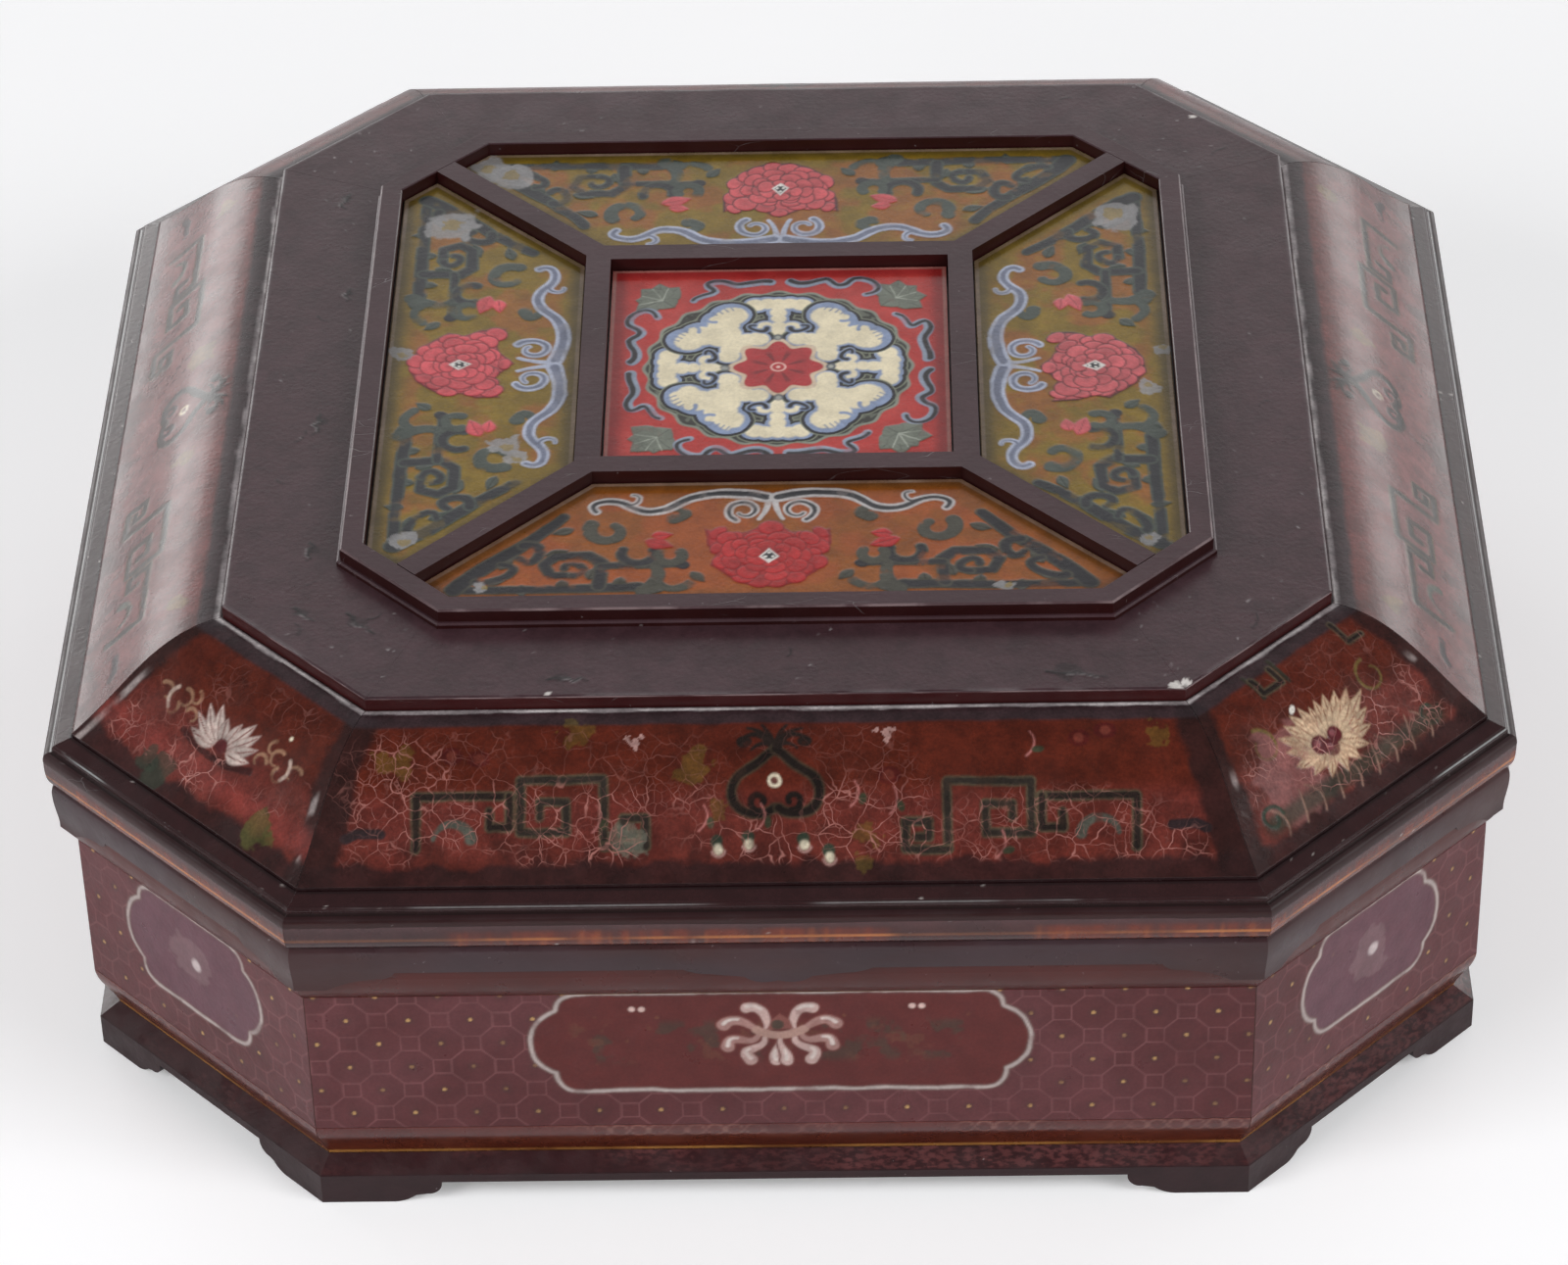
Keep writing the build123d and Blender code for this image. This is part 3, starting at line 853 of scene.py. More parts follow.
def ogee_ground(canvas, index, seed):
    """Red-brown ground, dark bands at foot, top and mitres, pale worn and highlit edges, and
    painted sheen at the sides.
    """
    u, v = canvas.u, canvas.v
    height = v.max()
    blotch = clouds(u, v, 22, seed)
    side = index not in FINE_SIDES
    # Sides and back: paler mauve paint with a lighter band low down, and the dark bands below kept
    # faint, partly their own paint and partly a painted sheen
    if side:
        canvas.lay(np.full(u.shape, 0.7), "6a3838")
        canvas.lay(ramp(v, 0, 14) * ramp(30 - v, 0, 12) * 0.45, "855c5c")
    canvas.lay(ramp(clouds(u, v, 50, seed + 5), 0.45, 0.7) * 0.35, "471a10")
    canvas.lay(ramp(28 - v, 0, 8) * (0.35 + 0.4 * blotch) * (0.3 if side else 1.0), "6a2e29")
    smudge = clouds(u, v * 0.5, 7, seed + 12)
    canvas.lay(ramp(smudge, 0.52, 0.72) * ramp(20 - v, 0, 14) * 0.6, "2c1210")
    canvas.lay(ramp(clouds(u, v, 9, seed + 8), 0.58, 0.75) * 0.3, "3c160c")
    mitre = half_length(index, 0) - np.abs(u) - TURN * np.interp(v, (0, height), OGEE_ENDS)
    edge = 3.2 * (clouds(u, v, 8, seed + 9) - 0.5)
    width = 10 - 0.08 * v if index % 2 == 0 else 6.5 - 0.05 * v
    dark = linear("2a1514")
    ragged = 7 * (clouds(u, v, 5, seed + 14) - 0.5)
    share = 0.35 if side else 0.9
    canvas.lay(ramp(width - mitre + edge + 0.5 * ragged, -0.5, 2.4) * share, dark)
    canvas.lay(ramp(6.4 - v + edge + ragged * 0.6, -0.5, 2.0) * share, "2c1616")
    canvas.lay(ramp(v - height + 7.2 + edge * 0.4, 0, 1.4) * 0.92, "33272b")
    # Pale crest: worn paint with a painted highlight along it; glint is a brighter painted
    # highlight on the crest
    canvas.lay(ramp(v - height + 2.0 + edge * 0.5, 0, 0.7) * 0.85, colour_of("worn") * 0.9)
    glint = ramp(0.5 - np.abs(v - height + 1.0), 0, 0.4)
    canvas.lay(glint * ramp(clouds(u, v, 14, seed + 15), 0.4, 0.55), "c6c0c0")
    canvas.crackle = ramp(clouds(u, v, 26, seed + 3), 0.4, 0.6) * ramp(width + 2 - mitre, 4, -1)
    canvas.crackle *= (
        ramp(height - 7 - v, 0, 2) * ramp(v, 4, 7) * (0.25 + 0.75 * ramp(30 - v, 0, 8))
    )
    # Pale streak beside the slanting boards' mitres: rubbed paint with a painted highlight
    streak = (
        (index % 2) * ramp(1.6 - np.abs(mitre - 2.4), 0, 1.2) * ramp(28 - v, 0, 6)
        * ramp(clouds(u, v * 0.5, 7, seed + 7), 0.42, 0.58)
    )
    canvas.lay(streak * 0.7, "a89c9a")


INK = linear("231a17")
SOFT_INK = linear("2c2520")
OLIVE = linear("4d4233")
GOLD_LEAF = linear("6a5a22")
CREAM = linear("d8ccb4")
ROSE = linear("a86a66")
GREEN = linear("2d352a")
CLOUD_DARK = linear("232126")
CLOUD_BLUE = linear("8695b4")


def fret_line(canvas, points, width=2.2, colour=INK):
    """A key-fret line: an olive margin under a dark, squared line."""
    canvas.stroke(points, width + 0.8, OLIVE, soft=0.4, wear=0.6)
    canvas.stroke(points, width - 0.3, colour, soft=0.25, wear=0.25)


def key_fret(canvas, sign, shift, lift):
    """Square spirals of one half of a long ogee board."""
    spiral = ((45, 9), (45, 27), (67, 27), (67, 13), (55, 13), (55, 21), (62, 21), (62, 17))
    hook = ((69.5, 22.8), (94.5, 22.8), (94.5, 9))
    tail = ((69.8, 22.8), (69.8, 14.4), (75.2, 14.4), (75.2, 18.6))
    small = ((45, 9), (34, 9), (34, 16.4), (40, 16.4), (40, 12.2), (37, 12.2))
    for points, colour in ((spiral, SOFT_INK), (hook, INK), (tail, INK), (small, SOFT_INK)):
        fret_line(canvas, mirrored(points, sign, shift) + np.array([0, lift]), 2.0, colour)
    leaf = mirrored(arc((85, 11.5), 5, 10, 170), sign, shift)
    canvas.stroke(leaf, 1.2, "4a4a42", end_width=3.2)
    knob = mirrored(((104, 14), (110, 14.5), (113, 13)), sign, shift)
    canvas.stroke(knob, 2.8, "2b1e20")


def ruyi(canvas, centre):
    """A ruyi head, point up: two lobes that turn in to curls, round a ring."""
    x, y = centre
    for sign in (-1, 1):
        half = np.array(
            (
                (0, 8.5), (2.2, 6.8), (5.2, 4.2), (9.6, 1.2), (11.6, -3.2), (9.6, -7.6),
                (4.6, -9.0), (0.6, -7.4),
            )
        )
        line = spline(mirrored(half, sign) + (x, y), 0.8)
        canvas.stroke(line, 2.9, OLIVE * 0.7, soft=0.5, wear=0.5)
        canvas.stroke(line, 2.0, INK * 0.7, wear=0.3)
        hook = curl((x + sign * 4.4, y - 5.6), 2.6, -90, sign * 0.8, 0.4)
        canvas.stroke(hook, 1.8, INK * 0.7, wear=0.3)
        for tip, bend, width in (
            ((9.4, 11.0), 2.4, 2.6), ((7.2, 14.6), 1.2, 2.0), ((3.2, 15.6), 0.4, 2.2),
            ((6.0, 8.6), 1.0, 1.8),
        ):
            bow = ((0.6, 9.6), (tip[0] * 0.5, (tip[1] + 9.6) / 2 + bend), tip)
            tuft = spline(mirrored(bow, sign) + (x, y), 0.8)
            canvas.stroke(tuft, width, INK, end_width=0.8, wear=0.4)
        canvas.spot((x + sign * 8.0, y + 10.6), 2.0, INK, squash=0.8)
    canvas.spot((x, y), 1.9, CREAM * 0.8, relief=0.08, wear=0.6)
    canvas.spot((x, y), 1.0, "5a3630", wear=0)


def ogee_front(canvas):
    """Long ogee board: key frets either side of a ruyi head, leaves and drops."""
    ogee_ground(canvas, 0, 11)
    for centre, radius in (
        ((-22, 32), 5), ((-15, 20), 2.6), ((24, 12), 3), ((23, 5), 2.4), ((-100, 34), 4.5),
        ((100, 39), 3.4), ((-52, 42), 4),
    ):
        canvas.patch(centre, radius, GOLD_LEAF, 31 + int(radius * 7), ragged=0.8, cover=0.34)
    for centre in ((87, 40), (80, 38), (-85, 35), (-78, 34), (30, 28)):
        canvas.spot(centre, 3.0, "4a1512", squash=0.8)
        canvas.spot(centre, 1.4, "6a3026")
    key_fret(canvas, -1, 0, 1.0)
    key_fret(canvas, 1, 0, -0.6)
    ruyi(canvas, (0, 27.3))
    for x, y in ((-15, 9.5), (-7, 10.5), (7.5, 10.2), (14, 7.0)):
        canvas.spot((x - 0.3, y + 1.5), 1.7, GREEN, squash=1.1)
        canvas.spot((x, y - 0.4), 1.2, CREAM * 0.85, squash=1.15, soft=0.5, relief=0.08, wear=1.0)
        canvas.stroke(arc((x, y - 0.6), 1.7, 190, 350), 0.5, "a8827c")
    for x, y in ((-37, 38.5), (29, 40)):
        for dx, dy, radius in ((0, 0, 1.3), (-2.2, 1.0, 0.8), (1.8, 1.2, 0.9), (0.4, -2.0, 0.8)):
            canvas.patch((x + dx, y + dy), radius, "b08a84", 35 + int(dx), ragged=0.9, cover=0.8)
    canvas.patch((-39, 10.5), 5, "6a6a5e", 36, ragged=0.9, cover=0.5)
    for x, y, turn in (
        (-48, 14, 60), (-20, 14, 100), (20, 20, 80), (58, 6, 20), (-5, 14, 90), (30, 18, 110),
        (66, 33, 10),
    ):
        canvas.stroke(
            spline(((x, y), (x + 2, y + 3), (x + 1, y + 7)), 0.8), 0.5, ROSE, end_width=0.3
        )
        canvas.spot((x + 3, y + 2), 1.6, "3a3a2a", squash=0.6, turn=turn)
    canvas.crackle = np.maximum(
        canvas.crackle,
        0.9 * ramp(np.hypot((canvas.u + 100) / 20, (canvas.v - 28) / 16), 1.1, 0.6)
        + 0.8 * ramp(np.hypot((canvas.u - 74) / 34, (canvas.v - 16) / 10), 1.1, 0.6)
        + 0.7 * ramp(np.hypot((canvas.u - 5) / 36, (canvas.v - 12) / 6), 1.1, 0.5),
    )
    canvas.crackle *= 1 - 0.65 * ramp(0.06 - canvas.colour[..., 0], 0, 0.03)


def petal(canvas, root, turn, length, width, colour, shade, bend=0.0):
    """A pointed petal from root, leaning turn degrees.

    At the share t of its length its half width is width / 2 * sin(pi * t^0.8),
    and its midline is pushed aside by bend * length * t^2.
    """
    share = np.linspace(0, 1, 14)
    across = width / 2 * np.sin(math.pi * share**0.8)
    middle = bend * length * share**2
    c, s = cos_sin(turn)
    along = np.concatenate([share, share[::-1]]) * length
    aside = np.concatenate([middle + across, (middle - across)[::-1]])
    points = np.stack([root[0] + c * along - s * aside, root[1] + s * along + c * aside], -1)
    canvas.fill(points, shade, soft=0.3, relief=0.06, wear=0.3)
    canvas.fill(root + (points - root) * 0.96, colour, soft=0.5, relief=0.09, wear=0.6)
    vein = np.stack([share[1:12] * length, middle[1:12]], -1)
    vein = np.stack(
        [root[0] + c * vein[:, 0] - s * vein[:, 1], root[1] + s * vein[:, 0] + c * vein[:, 1]], -1
    )
    canvas.stroke(vein, 0.35, shade, soft=0.25, relief=0.07)


def chrysanthemum(canvas, centre, reach, turns, colour, shade, width):
    """Petals set round a bare heart at the given angles, the outer ones first."""
    heart = 0.3
    rng = np.random.default_rng(canvas.seed + 70)
    for ring, size in ((1.0, 1.0), (0.72, 0.85)):
        for turn in turns:
            lean = turn + rng.uniform(-6, 6)
            length = reach * ring * rng.uniform(0.85, 1.12)
            c, s = cos_sin(lean)
            root = np.array([centre[0] + reach * heart * c, centre[1] + reach * heart * s * 0.6])
            petal(canvas, root, lean, length * (1 - heart), width * size, colour, shade)


def ogee_front_left(canvas):
    """Front-left chamfer: a pale chrysanthemum with a spray to either side."""
    ogee_ground(canvas, 7, 23)
    canvas.lay(ramp(6 - np.abs(canvas.v - 11), 0, 5) * 0.5, "8a3a34")
    for x, y, r in ((-14, 5, 6), (-20, 6, 4), (24, 7, 5), (30, 6, 3)):
        canvas.patch((x, y), r, GREEN if x < 0 else "4a4a24", 51 + int(x), cover=0.7)
    for sign in (-1, 1):
        tan = linear("8a6650")
        for x, y, radius, start in (
            (14, 22, 2.6, 20), (19, 25, 3.0, 70), (22, 21.5, 2.4, 130), (26, 24, 2.8, 40),
            (16, 27, 2.2, 100),
        ):
            leafy = curl(
                (sign * x, y), radius, start if sign > 0 else 180 - start, sign * 0.6, 0.5
            )
            canvas.stroke(leafy, 1.2, tan, end_width=0.5, wear=1.2)
        canvas.stroke(
            spline(((sign * 23, 27), (sign * 24.4, 24), (sign * 23, 21)), 0.7), 1.0, "b8a094"
        )
    canvas.stroke(spline(((-14, 18), (-2, 16), (13, 18.4)), 0.8), 2.0, "3a1412")
    pale, shade = linear("c6b4ac"), linear("6a3430")
    fan = (
        (188, 11), (166, 13), (146, 13.5), (126, 12.5), (108, 8.5), (74, 9), (56, 12.5), (36, 13),
        (16, 12), (-6, 10),
    )
    for turn, length in fan:
        lean = math.radians(turn)
        root = np.array([2.6 * math.cos(lean), 19.2 + 1.2 * math.sin(lean)])
        petal(
            canvas, root, turn, length * 0.88, 3.7, pale * (0.86 + 0.2 * math.sin(5 * turn)),
            shade, 0.22 * math.cos(lean),
        )
    canvas.spot((0, 20), 2.2, "5a2426", squash=0.9)
    canvas.spot((19, 32), 0.6, CREAM, wear=0)
    canvas.crackle *= 1.1


def ogee_front_right(canvas):
    """Front-right chamfer: a large cream flower with a dark red heart over leaves."""
    ogee_ground(canvas, 1, 37)
    canvas.patch((-22, 18), 13, "865654", 61, cover=0.7)
    canvas.lay(
        ramp(4 - np.abs(canvas.v - 8.5), 0, 3) * ramp(38 - np.abs(canvas.u), 0, 6) * 0.75, GREEN
    )
    for k in range(9):
        x = -30 + 7.2 * k
        line = spline(((x, 4), (x + 1.5, 8), (x + (3 if k % 2 else -2), 13)), 0.8)
        canvas.stroke(line, 0.6, "8a6a5c", end_width=0.3)
    for sign, x in ((-1, -22), (1, 21)):
        canvas.stroke(curl((x, 27), 5, 90, sign * 0.9, 0.5), 1.0, "66532a", end_width=0.5)
        canvas.stroke(curl((x + 10 * sign, 10), 4, 0, -sign, 0.4), 1.2, GREEN)
    for x in (-12, -2):
        canvas.stroke(((x, 46), (x, 38)), 1.4, "2e2a20")
    fret_line(canvas, ((-11, 44), (-11, 39), (-4, 39), (-4, 44)), 1.6)
    fret_line(canvas, ((22, 45), (22, 38), (27, 38)), 1.4)
    cream, shade = linear("cdb294"), linear("7c4a34")
    fan = (
        (192, 12, 3.4), (172, 13, 3.8), (156, 15, 4.0), (140, 13.5, 3.8), (124, 13, 3.6),
        (108, 12, 3.4), (92, 10, 3.2), (78, 11, 3.4), (62, 12, 3.6), (46, 13, 3.8),
        (30, 15, 4.0), (14, 17, 4.2), (-2, 14, 3.6), (-20, 12, 3.4), (-42, 10, 3.4),
        (-66, 9, 3.2), (-92, 8.6, 3.0), (-118, 9, 3.2), (-144, 10, 3.4), (-164, 11, 3.4),
    )
    for turn, length, width in fan + tuple((a + 8, n * 0.7, w) for a, n, w in fan[1:-1]):
        lean = math.radians(turn)
        root = np.array([-2 + 3.6 * math.cos(lean), 18.4 + 1.6 * math.sin(lean)])
        tone = 0.5 + 0.5 * math.sin(7 * turn)
        petal(
            canvas, root, turn, length * 0.92, width + 0.5, cream * (0.76 + 0.3 * tone), shade,
            0.2 * math.cos(lean),
        )
    for x, y, r in ((-6, 19, 2.8), (0, 19.6, 2.4), (-3, 16.6, 2.4)):
        canvas.spot((x, y), r, "5a1a20", relief=0.1)
        canvas.spot((x - 0.5, y + 0.6), r * 0.4, "8a4a50")
    canvas.spot((-7.5, 31), 1.4, "e6dfd6", squash=0.6, turn=35, wear=0)


def ogee_side(canvas, index):
    """Ogee board at the sides or back: faded frets, leaves and small flowers."""
    ogee_ground(canvas, index, 41 + 7 * index)
    if index % 2:
        chrysanthemum(
            canvas, (0, 21), 11, range(-10, 200, 21), linear("a88a80"), linear("5a2c28"), 3.4
        )
        canvas.spot((0, 20), 2.4, "4a1a1c")
        canvas.lay(
            ramp(3 - np.abs(canvas.v - 8), 0, 2) * ramp(34 - np.abs(canvas.u), 0, 6) * 0.6, GREEN
        )
    else:
        key_fret(canvas, -1, 0, 0)
        key_fret(canvas, 1, 0, 0)
        ruyi(canvas, (0, 27.3))
        for x, y, r in ((-24, 31, 5), (25, 30, 4), (-102, 32, 4), (98, 36, 4)):
            canvas.patch((x, y), r, GOLD_LEAF, 71 + int(r), cover=0.5)


def diaper(canvas, pitch, start, line_colour, dot_colour):
    """Octagons that meet along slanting sides, with small squares between them.

    In axes turned by 45 degrees the pattern repeats every pitch: a square's edge
    lies where |x| + |y| is its half diagonal, and two octagons meet where x or y
    is zero outside it. A gold dot sits in every octagon.
    """
    along = (canvas.u - start[0] + canvas.v - start[1]) * math.sqrt(0.5)
    across = (canvas.u - start[0] - canvas.v + start[1]) * math.sqrt(0.5)
    x = np.mod(along, pitch) - pitch / 2
    y = np.mod(across, pitch) - pitch / 2
    half_diagonal = pitch * (1 - math.sqrt(0.5))
    ring = np.abs(np.abs(x) + np.abs(y) - half_diagonal) * math.sqrt(0.5)
    outside = (np.abs(x) + np.abs(y)) > half_diagonal
    gap = np.minimum(ring, np.where(outside, np.minimum(np.abs(x), np.abs(y)), 9.0))
    faint = 0.1 + 0.5 * clouds(canvas.u, canvas.v, 12, canvas.seed + 2)
    canvas.lay(ramp(0.4 - gap, 0, 0.3) * faint, line_colour)
    dots = np.hypot(pitch / 2 - np.abs(x), pitch / 2 - np.abs(y))
    bright = ramp(noise(canvas.u, canvas.v, 9, canvas.seed + 4), 0.2, 0.75)
    canvas.lay(ramp(2.2 - dots, 0, 1.6) * 0.35, "40302c")
    canvas.lay(ramp(0.75 - dots, 0, 0.35) * (0.3 + 0.7 * bright), dot_colour)


def cartouche_outline(half, low, high, lobe):
    """Outline of a cartouche: straight top and foot, and ends of three lobes."""
    middle = (low + high) / 2
    right = spline(
        ((half, low), (half + lobe * 0.36, low + 1.6), (half + lobe * 0.5, low + 5.6)), 0.8
    )
    big = spline(
        (
            (half + lobe * 0.5, low + 6.6),
            (half + lobe * 0.86, low + 10.6),
            (half + lobe, middle),
            (half + lobe * 0.86, high - 10.6),
            (half + lobe * 0.46, high - 6.0),
        ),
        0.8,
    )
    upper = spline(
        ((half + lobe * 0.44, high - 5.6), (half + lobe * 0.3, high - 1.6), (half, high)), 0.8
    )
    side = np.concatenate([right, big, upper])
    return np.concatenate([side, side[::-1] * np.array([-1.0, 1.0])])


def wall_ornament(canvas, index):
    """Wall board: a faint diaper, and a cusped cartouche outlined in silver."""
    u, v = canvas.u, canvas.v
    high = v.max() + 0.6
    canvas.lay(ramp(clouds(u, v, 40, canvas.seed), 0.4, 0.65) * 0.35, "6d4044")
    diaper(canvas, 11.74, (0.5, 5.4), linear("8a5a5c"), linear("b8905e"))
    half, lobe = (54, 13) if index % 2 == 0 else (17, 11)
    outline = cartouche_outline(half, 12.6, high - 0.4, lobe)
    field = linear("5c2624") if index % 2 == 0 else linear("64404a")
    canvas.fill(outline, field, soft=0.4, relief=0.0, wear=0.2)
    if index % 2 == 0:
        sprays = ramp(clouds(u, v, 6, canvas.seed + 8), 0.56, 0.66)
        within = ramp(58 - np.abs(u), 0, 4) * ramp(9 - np.abs(v - 30), 0, 4)
        canvas.lay(sprays * within * 0.6, "403a30")
        canvas.lay(ramp(clouds(u, v, 5, canvas.seed + 9), 0.62, 0.7) * within * 0.4, "6a4434")
        lotus(canvas, (0, 32.5))
        for x in (-38, 36.5):
            canvas.spot((x - 1.3, 41.6), 0.9, "d8b8b0", wear=0)
            canvas.spot((x + 1.3, 41.6), 0.9, "d8b8b0", wear=0)
    else:
        canvas.patch((0, 30), 9, "8d7274", 91 + index, cover=0.35)
        canvas.spot((1, 30.5), 1.9, "c8b8b8", soft=0.8, wear=0.3)
    closed = np.concatenate([outline, outline[:1]])
    canvas.stroke(closed, 1.9, "6f5450", soft=0.5, relief=0.05)
    canvas.stroke(closed, 1.1, "aea09c", soft=0.35, relief=0.1, wear=0.8)


def lotus(canvas, centre):
    """A lotus seen from the side: petals that curl to round ends below a cup."""
    pale, rose, shade = linear("bda09a"), linear("a07a74"), linear("6a3430")
    half = (
        (((3.4, 2.0), (3.6, 5.6), (5.4, 8.6), (8.8, 9.2)), 1.6, 3.4, pale),
        (((5.4, 1.0), (8.6, 3.6), (12.0, 5.0), (15.0, 3.4)), 1.4, 3.8, rose),
        (((5.6, -0.4), (9.0, -2.2), (12.6, -1.8), (14.0, -4.4)), 1.4, 3.6, rose),
        (((4.0, -1.6), (5.2, -4.0), (8.8, -6.0), (8.2, -9.2)), 1.4, 3.6, pale),
        (((0.2, -2.0), (0.5, -4.8), (1.6, -7.6), (1.4, -9.6)), 1.0, 3.2, pale),
    )
    for sign in (-1, 1):
        for points, width, end_width, colour in half:
            line = spline(mirrored(points, sign) + centre, 0.6)
            canvas.stroke(
                line, width + 1.0, shade, end_width=end_width + 1.0, relief=0.04, wear=0.3
            )
            canvas.stroke(line, width, colour, end_width=end_width, relief=0.1, wear=0.5)
            tip = line[int(len(line) * 0.62) :] + np.array([0.0, 0.5])
            canvas.stroke(tip, 0.8, "d2c4be", end_width=1.2, soft=0.4, relief=0.12, wear=0.6)
    cup = spline(
        np.array(((-6.2, 1.6), (-3, -0.2), (0, -0.8), (3, -0.2), (6.2, 1.6))) + centre, 0.6
    )
    canvas.stroke(cup, 2.6, "a8857a", relief=0.1, wear=0.4)
    pod = np.array(((-3.6, 1.4), (-2.2, 4.6), (0, 7.0), (2.6, 4.6), (3.6, 1.4))) + centre
    canvas.fill(pod, "7c4a44", wear=0.3)
    canvas.spot((centre[0] - 0.6, centre[1] + 3.0), 1.7, "4a3a30")


def cove_ornament(canvas, seed):
    """Cove: small scallops under the wall and a worn gold line at its foot."""
    u, v = canvas.u, canvas.v
    top = v.max()
    canvas.lay(ramp(clouds(u, v * 3, 30, seed), 0.4, 0.7) * 0.45, "6e3420")
    canvas.lay(ramp(v - top + 6.5, 0, 3) * 0.55, "5c3034")
    pitch = 5.2
    x = np.mod(u, pitch) - pitch / 2
    gap = np.abs(np.hypot(x, v - top + 2.4) - 2.3)
    faint = ramp(clouds(u, v, 30, seed + 1), 0.4, 0.62)
    canvas.lay(ramp(0.5 - gap, 0, 0.35) * faint * 0.5, "93665c")
    gold = (
        ramp(1.5 - np.abs(v - 0.9), 0.5, 1.1)
        * (0.35 + 0.65 * ramp(clouds(u, v, 24, seed + 2), 0.36, 0.6))
    )
    canvas.lay(gold, colour_of("gold"))


def rim_ornament(canvas, index, bead_end):
    """Rim: painted highlights under the bead, painted shade below it and in its groove, and a
    worn, highlit arris.
    """
    u, v = canvas.u, canvas.v
    seed = canvas.seed
    canvas.lay(np.full(u.shape, 0.75), "3a1c1c")
    canvas.lay(ramp(clouds(u, v * 2, 26, seed), 0.4, 0.65) * 0.5, "4a2624")
    canvas.lay(ramp(v - bead_end, 0.5, 1.0) * 0.75, "2a1315")
    streaks = 0.35 + 0.65 * ramp(noise(u, v * 0.05, 1.6, seed + 1), 0.1, 0.9)
    zone = ramp(clouds(u, v * 0.1, 60, seed + 2, 2), 0.34, 0.46)
    if index == 0:
        zone = np.maximum(ramp(u, -88, -82) * ramp(33 - u, 0, 5), ramp(u, 66, 71))
    # The orange-brown streaks and the bright orange line on the bead's lower half are painted
    # highlights
    under = ramp(bead_end * 0.62 - v, -0.6, 1.6)
    canvas.lay(
        ramp(v, bead_end * 0.5, bead_end * 0.75) * ramp(bead_end + 0.4 - v, 0, 0.5) * 0.5, "54393c"
    )
    canvas.lay(under * streaks * zone * 0.9, "6e2a16")
    canvas.lay(under * zone * ramp(noise(u, v * 0.05, 0.9, seed + 8), 0.7, 0.85) * 0.6, "8c4422")
    line_zone = 0.25 + 0.75 * zone * ramp(clouds(u, v * 0.2, 30, seed + 9), 0.34, 0.5)
    canvas.lay(ramp(0.55 - np.abs(v - bead_end * 0.36), 0, 0.4) * line_zone, "b26c38")
    # Painted shade where the bead turns under, and in the groove
    canvas.lay(ramp(2.0 - v, 0, 1.2) * 0.8, "220b08")
    groove = ramp(0.8 - np.abs(v - bead_end - 0.4), 0, 0.3)
    canvas.lay(groove * 0.95, "160606")
    # Pale arris: worn paint and a painted highlight, stronger on the two front chamfers
    arris = np.abs(v - bead_end - 2.5)
    rubbed = ramp(clouds(u, v * 0.2, 34, seed + 3), 0.44, 0.6)
    strength = 0.8 if index in (7, 1) else 0.3
    canvas.lay(ramp(0.8 - arris, 0, 0.5) * rubbed * strength, "a3a6a6")
    canvas.lay(ramp(v - v.max() + 1.3, 0, 0.5) * 0.8, "1c0c0e")
    chips = ramp(noise(u, v, 2.0, seed + 5), 0.955, 0.985)
    canvas.lay(chips * 0.7, "c4bcb8")


def panel_ground(canvas, ground, accent, edge_gap):
    """Panel ground: mottled, with painted shade along the frame, and a pale line at its edge."""
    u, v = canvas.u, canvas.v
    seed = canvas.seed
    canvas.lay(np.full(u.shape, 0.85), ground)
    canvas.lay(ramp(edge_gap, 3, 9) * ramp(clouds(u, v, 11, seed), 0.4, 0.6) * 0.85, accent)
    canvas.lay(ramp(clouds(u, v, 4, seed + 1), 0.55, 0.75) * 0.3, ground * 1.35)
    canvas.lay(ramp(clouds(u, v, 9, seed + 2), 0.58, 0.74) * 0.3, ground * 0.62)
    # Painted shade along the frame, standing for the frame wall's shadow and reflection on the
    # glossy panel
    canvas.lay(ramp(5.5 - edge_gap, 0, 4.0) * 0.55, "3f3524")
    line = ramp(0.9 - np.abs(edge_gap - 0.7), 0, 0.4) * (0.3 + 0.6 * noise(u, v, 9, seed + 3))
    canvas.lay(line, "8a7568")


def cloud_scroll(canvas, sign, shift, core, rim_colour):
    """Half of the pale cloud scroll along a panel's inner edge, with its curl."""
    body = (
        (1.6, 64.2), (7, 62.8), (20, 63.2), (24, 65.2), (28.5, 69.0), (36.6, 69.4), (41, 66.4),
        (45.6, 65.4), (49, 67.2), (48.4, 70.2),
    )
    line = spline(mirrored(body, sign, shift), 0.8)
    hook = spline(
        mirrored(((40, 66.6), (37.4, 66.4), (36.6, 64.2), (38.6, 62.6)), sign, shift), 0.7
    )
    swirl = curl((shift + sign * 7.4, 70.4), 5.0, 60 if sign > 0 else 120, -sign * 1.05, 0.4)
    stem = spline(mirrored(((0.8, 63.4), (1.2, 68.6), (3.2, 74.4)), sign, shift), 0.7)
    for points, width in ((swirl, 3.0), (line, 4.8), (hook, 2.6), (stem, 2.0)):
        canvas.stroke(points, width, rim_colour, end_width=width * 0.62, relief=0.1, wear=0.45)
    for points, width in ((swirl, 1.3), (line, 2.5), (hook, 0.9)):
        canvas.stroke(points, width, core, end_width=width * 0.5, relief=0.06, wear=0.4)


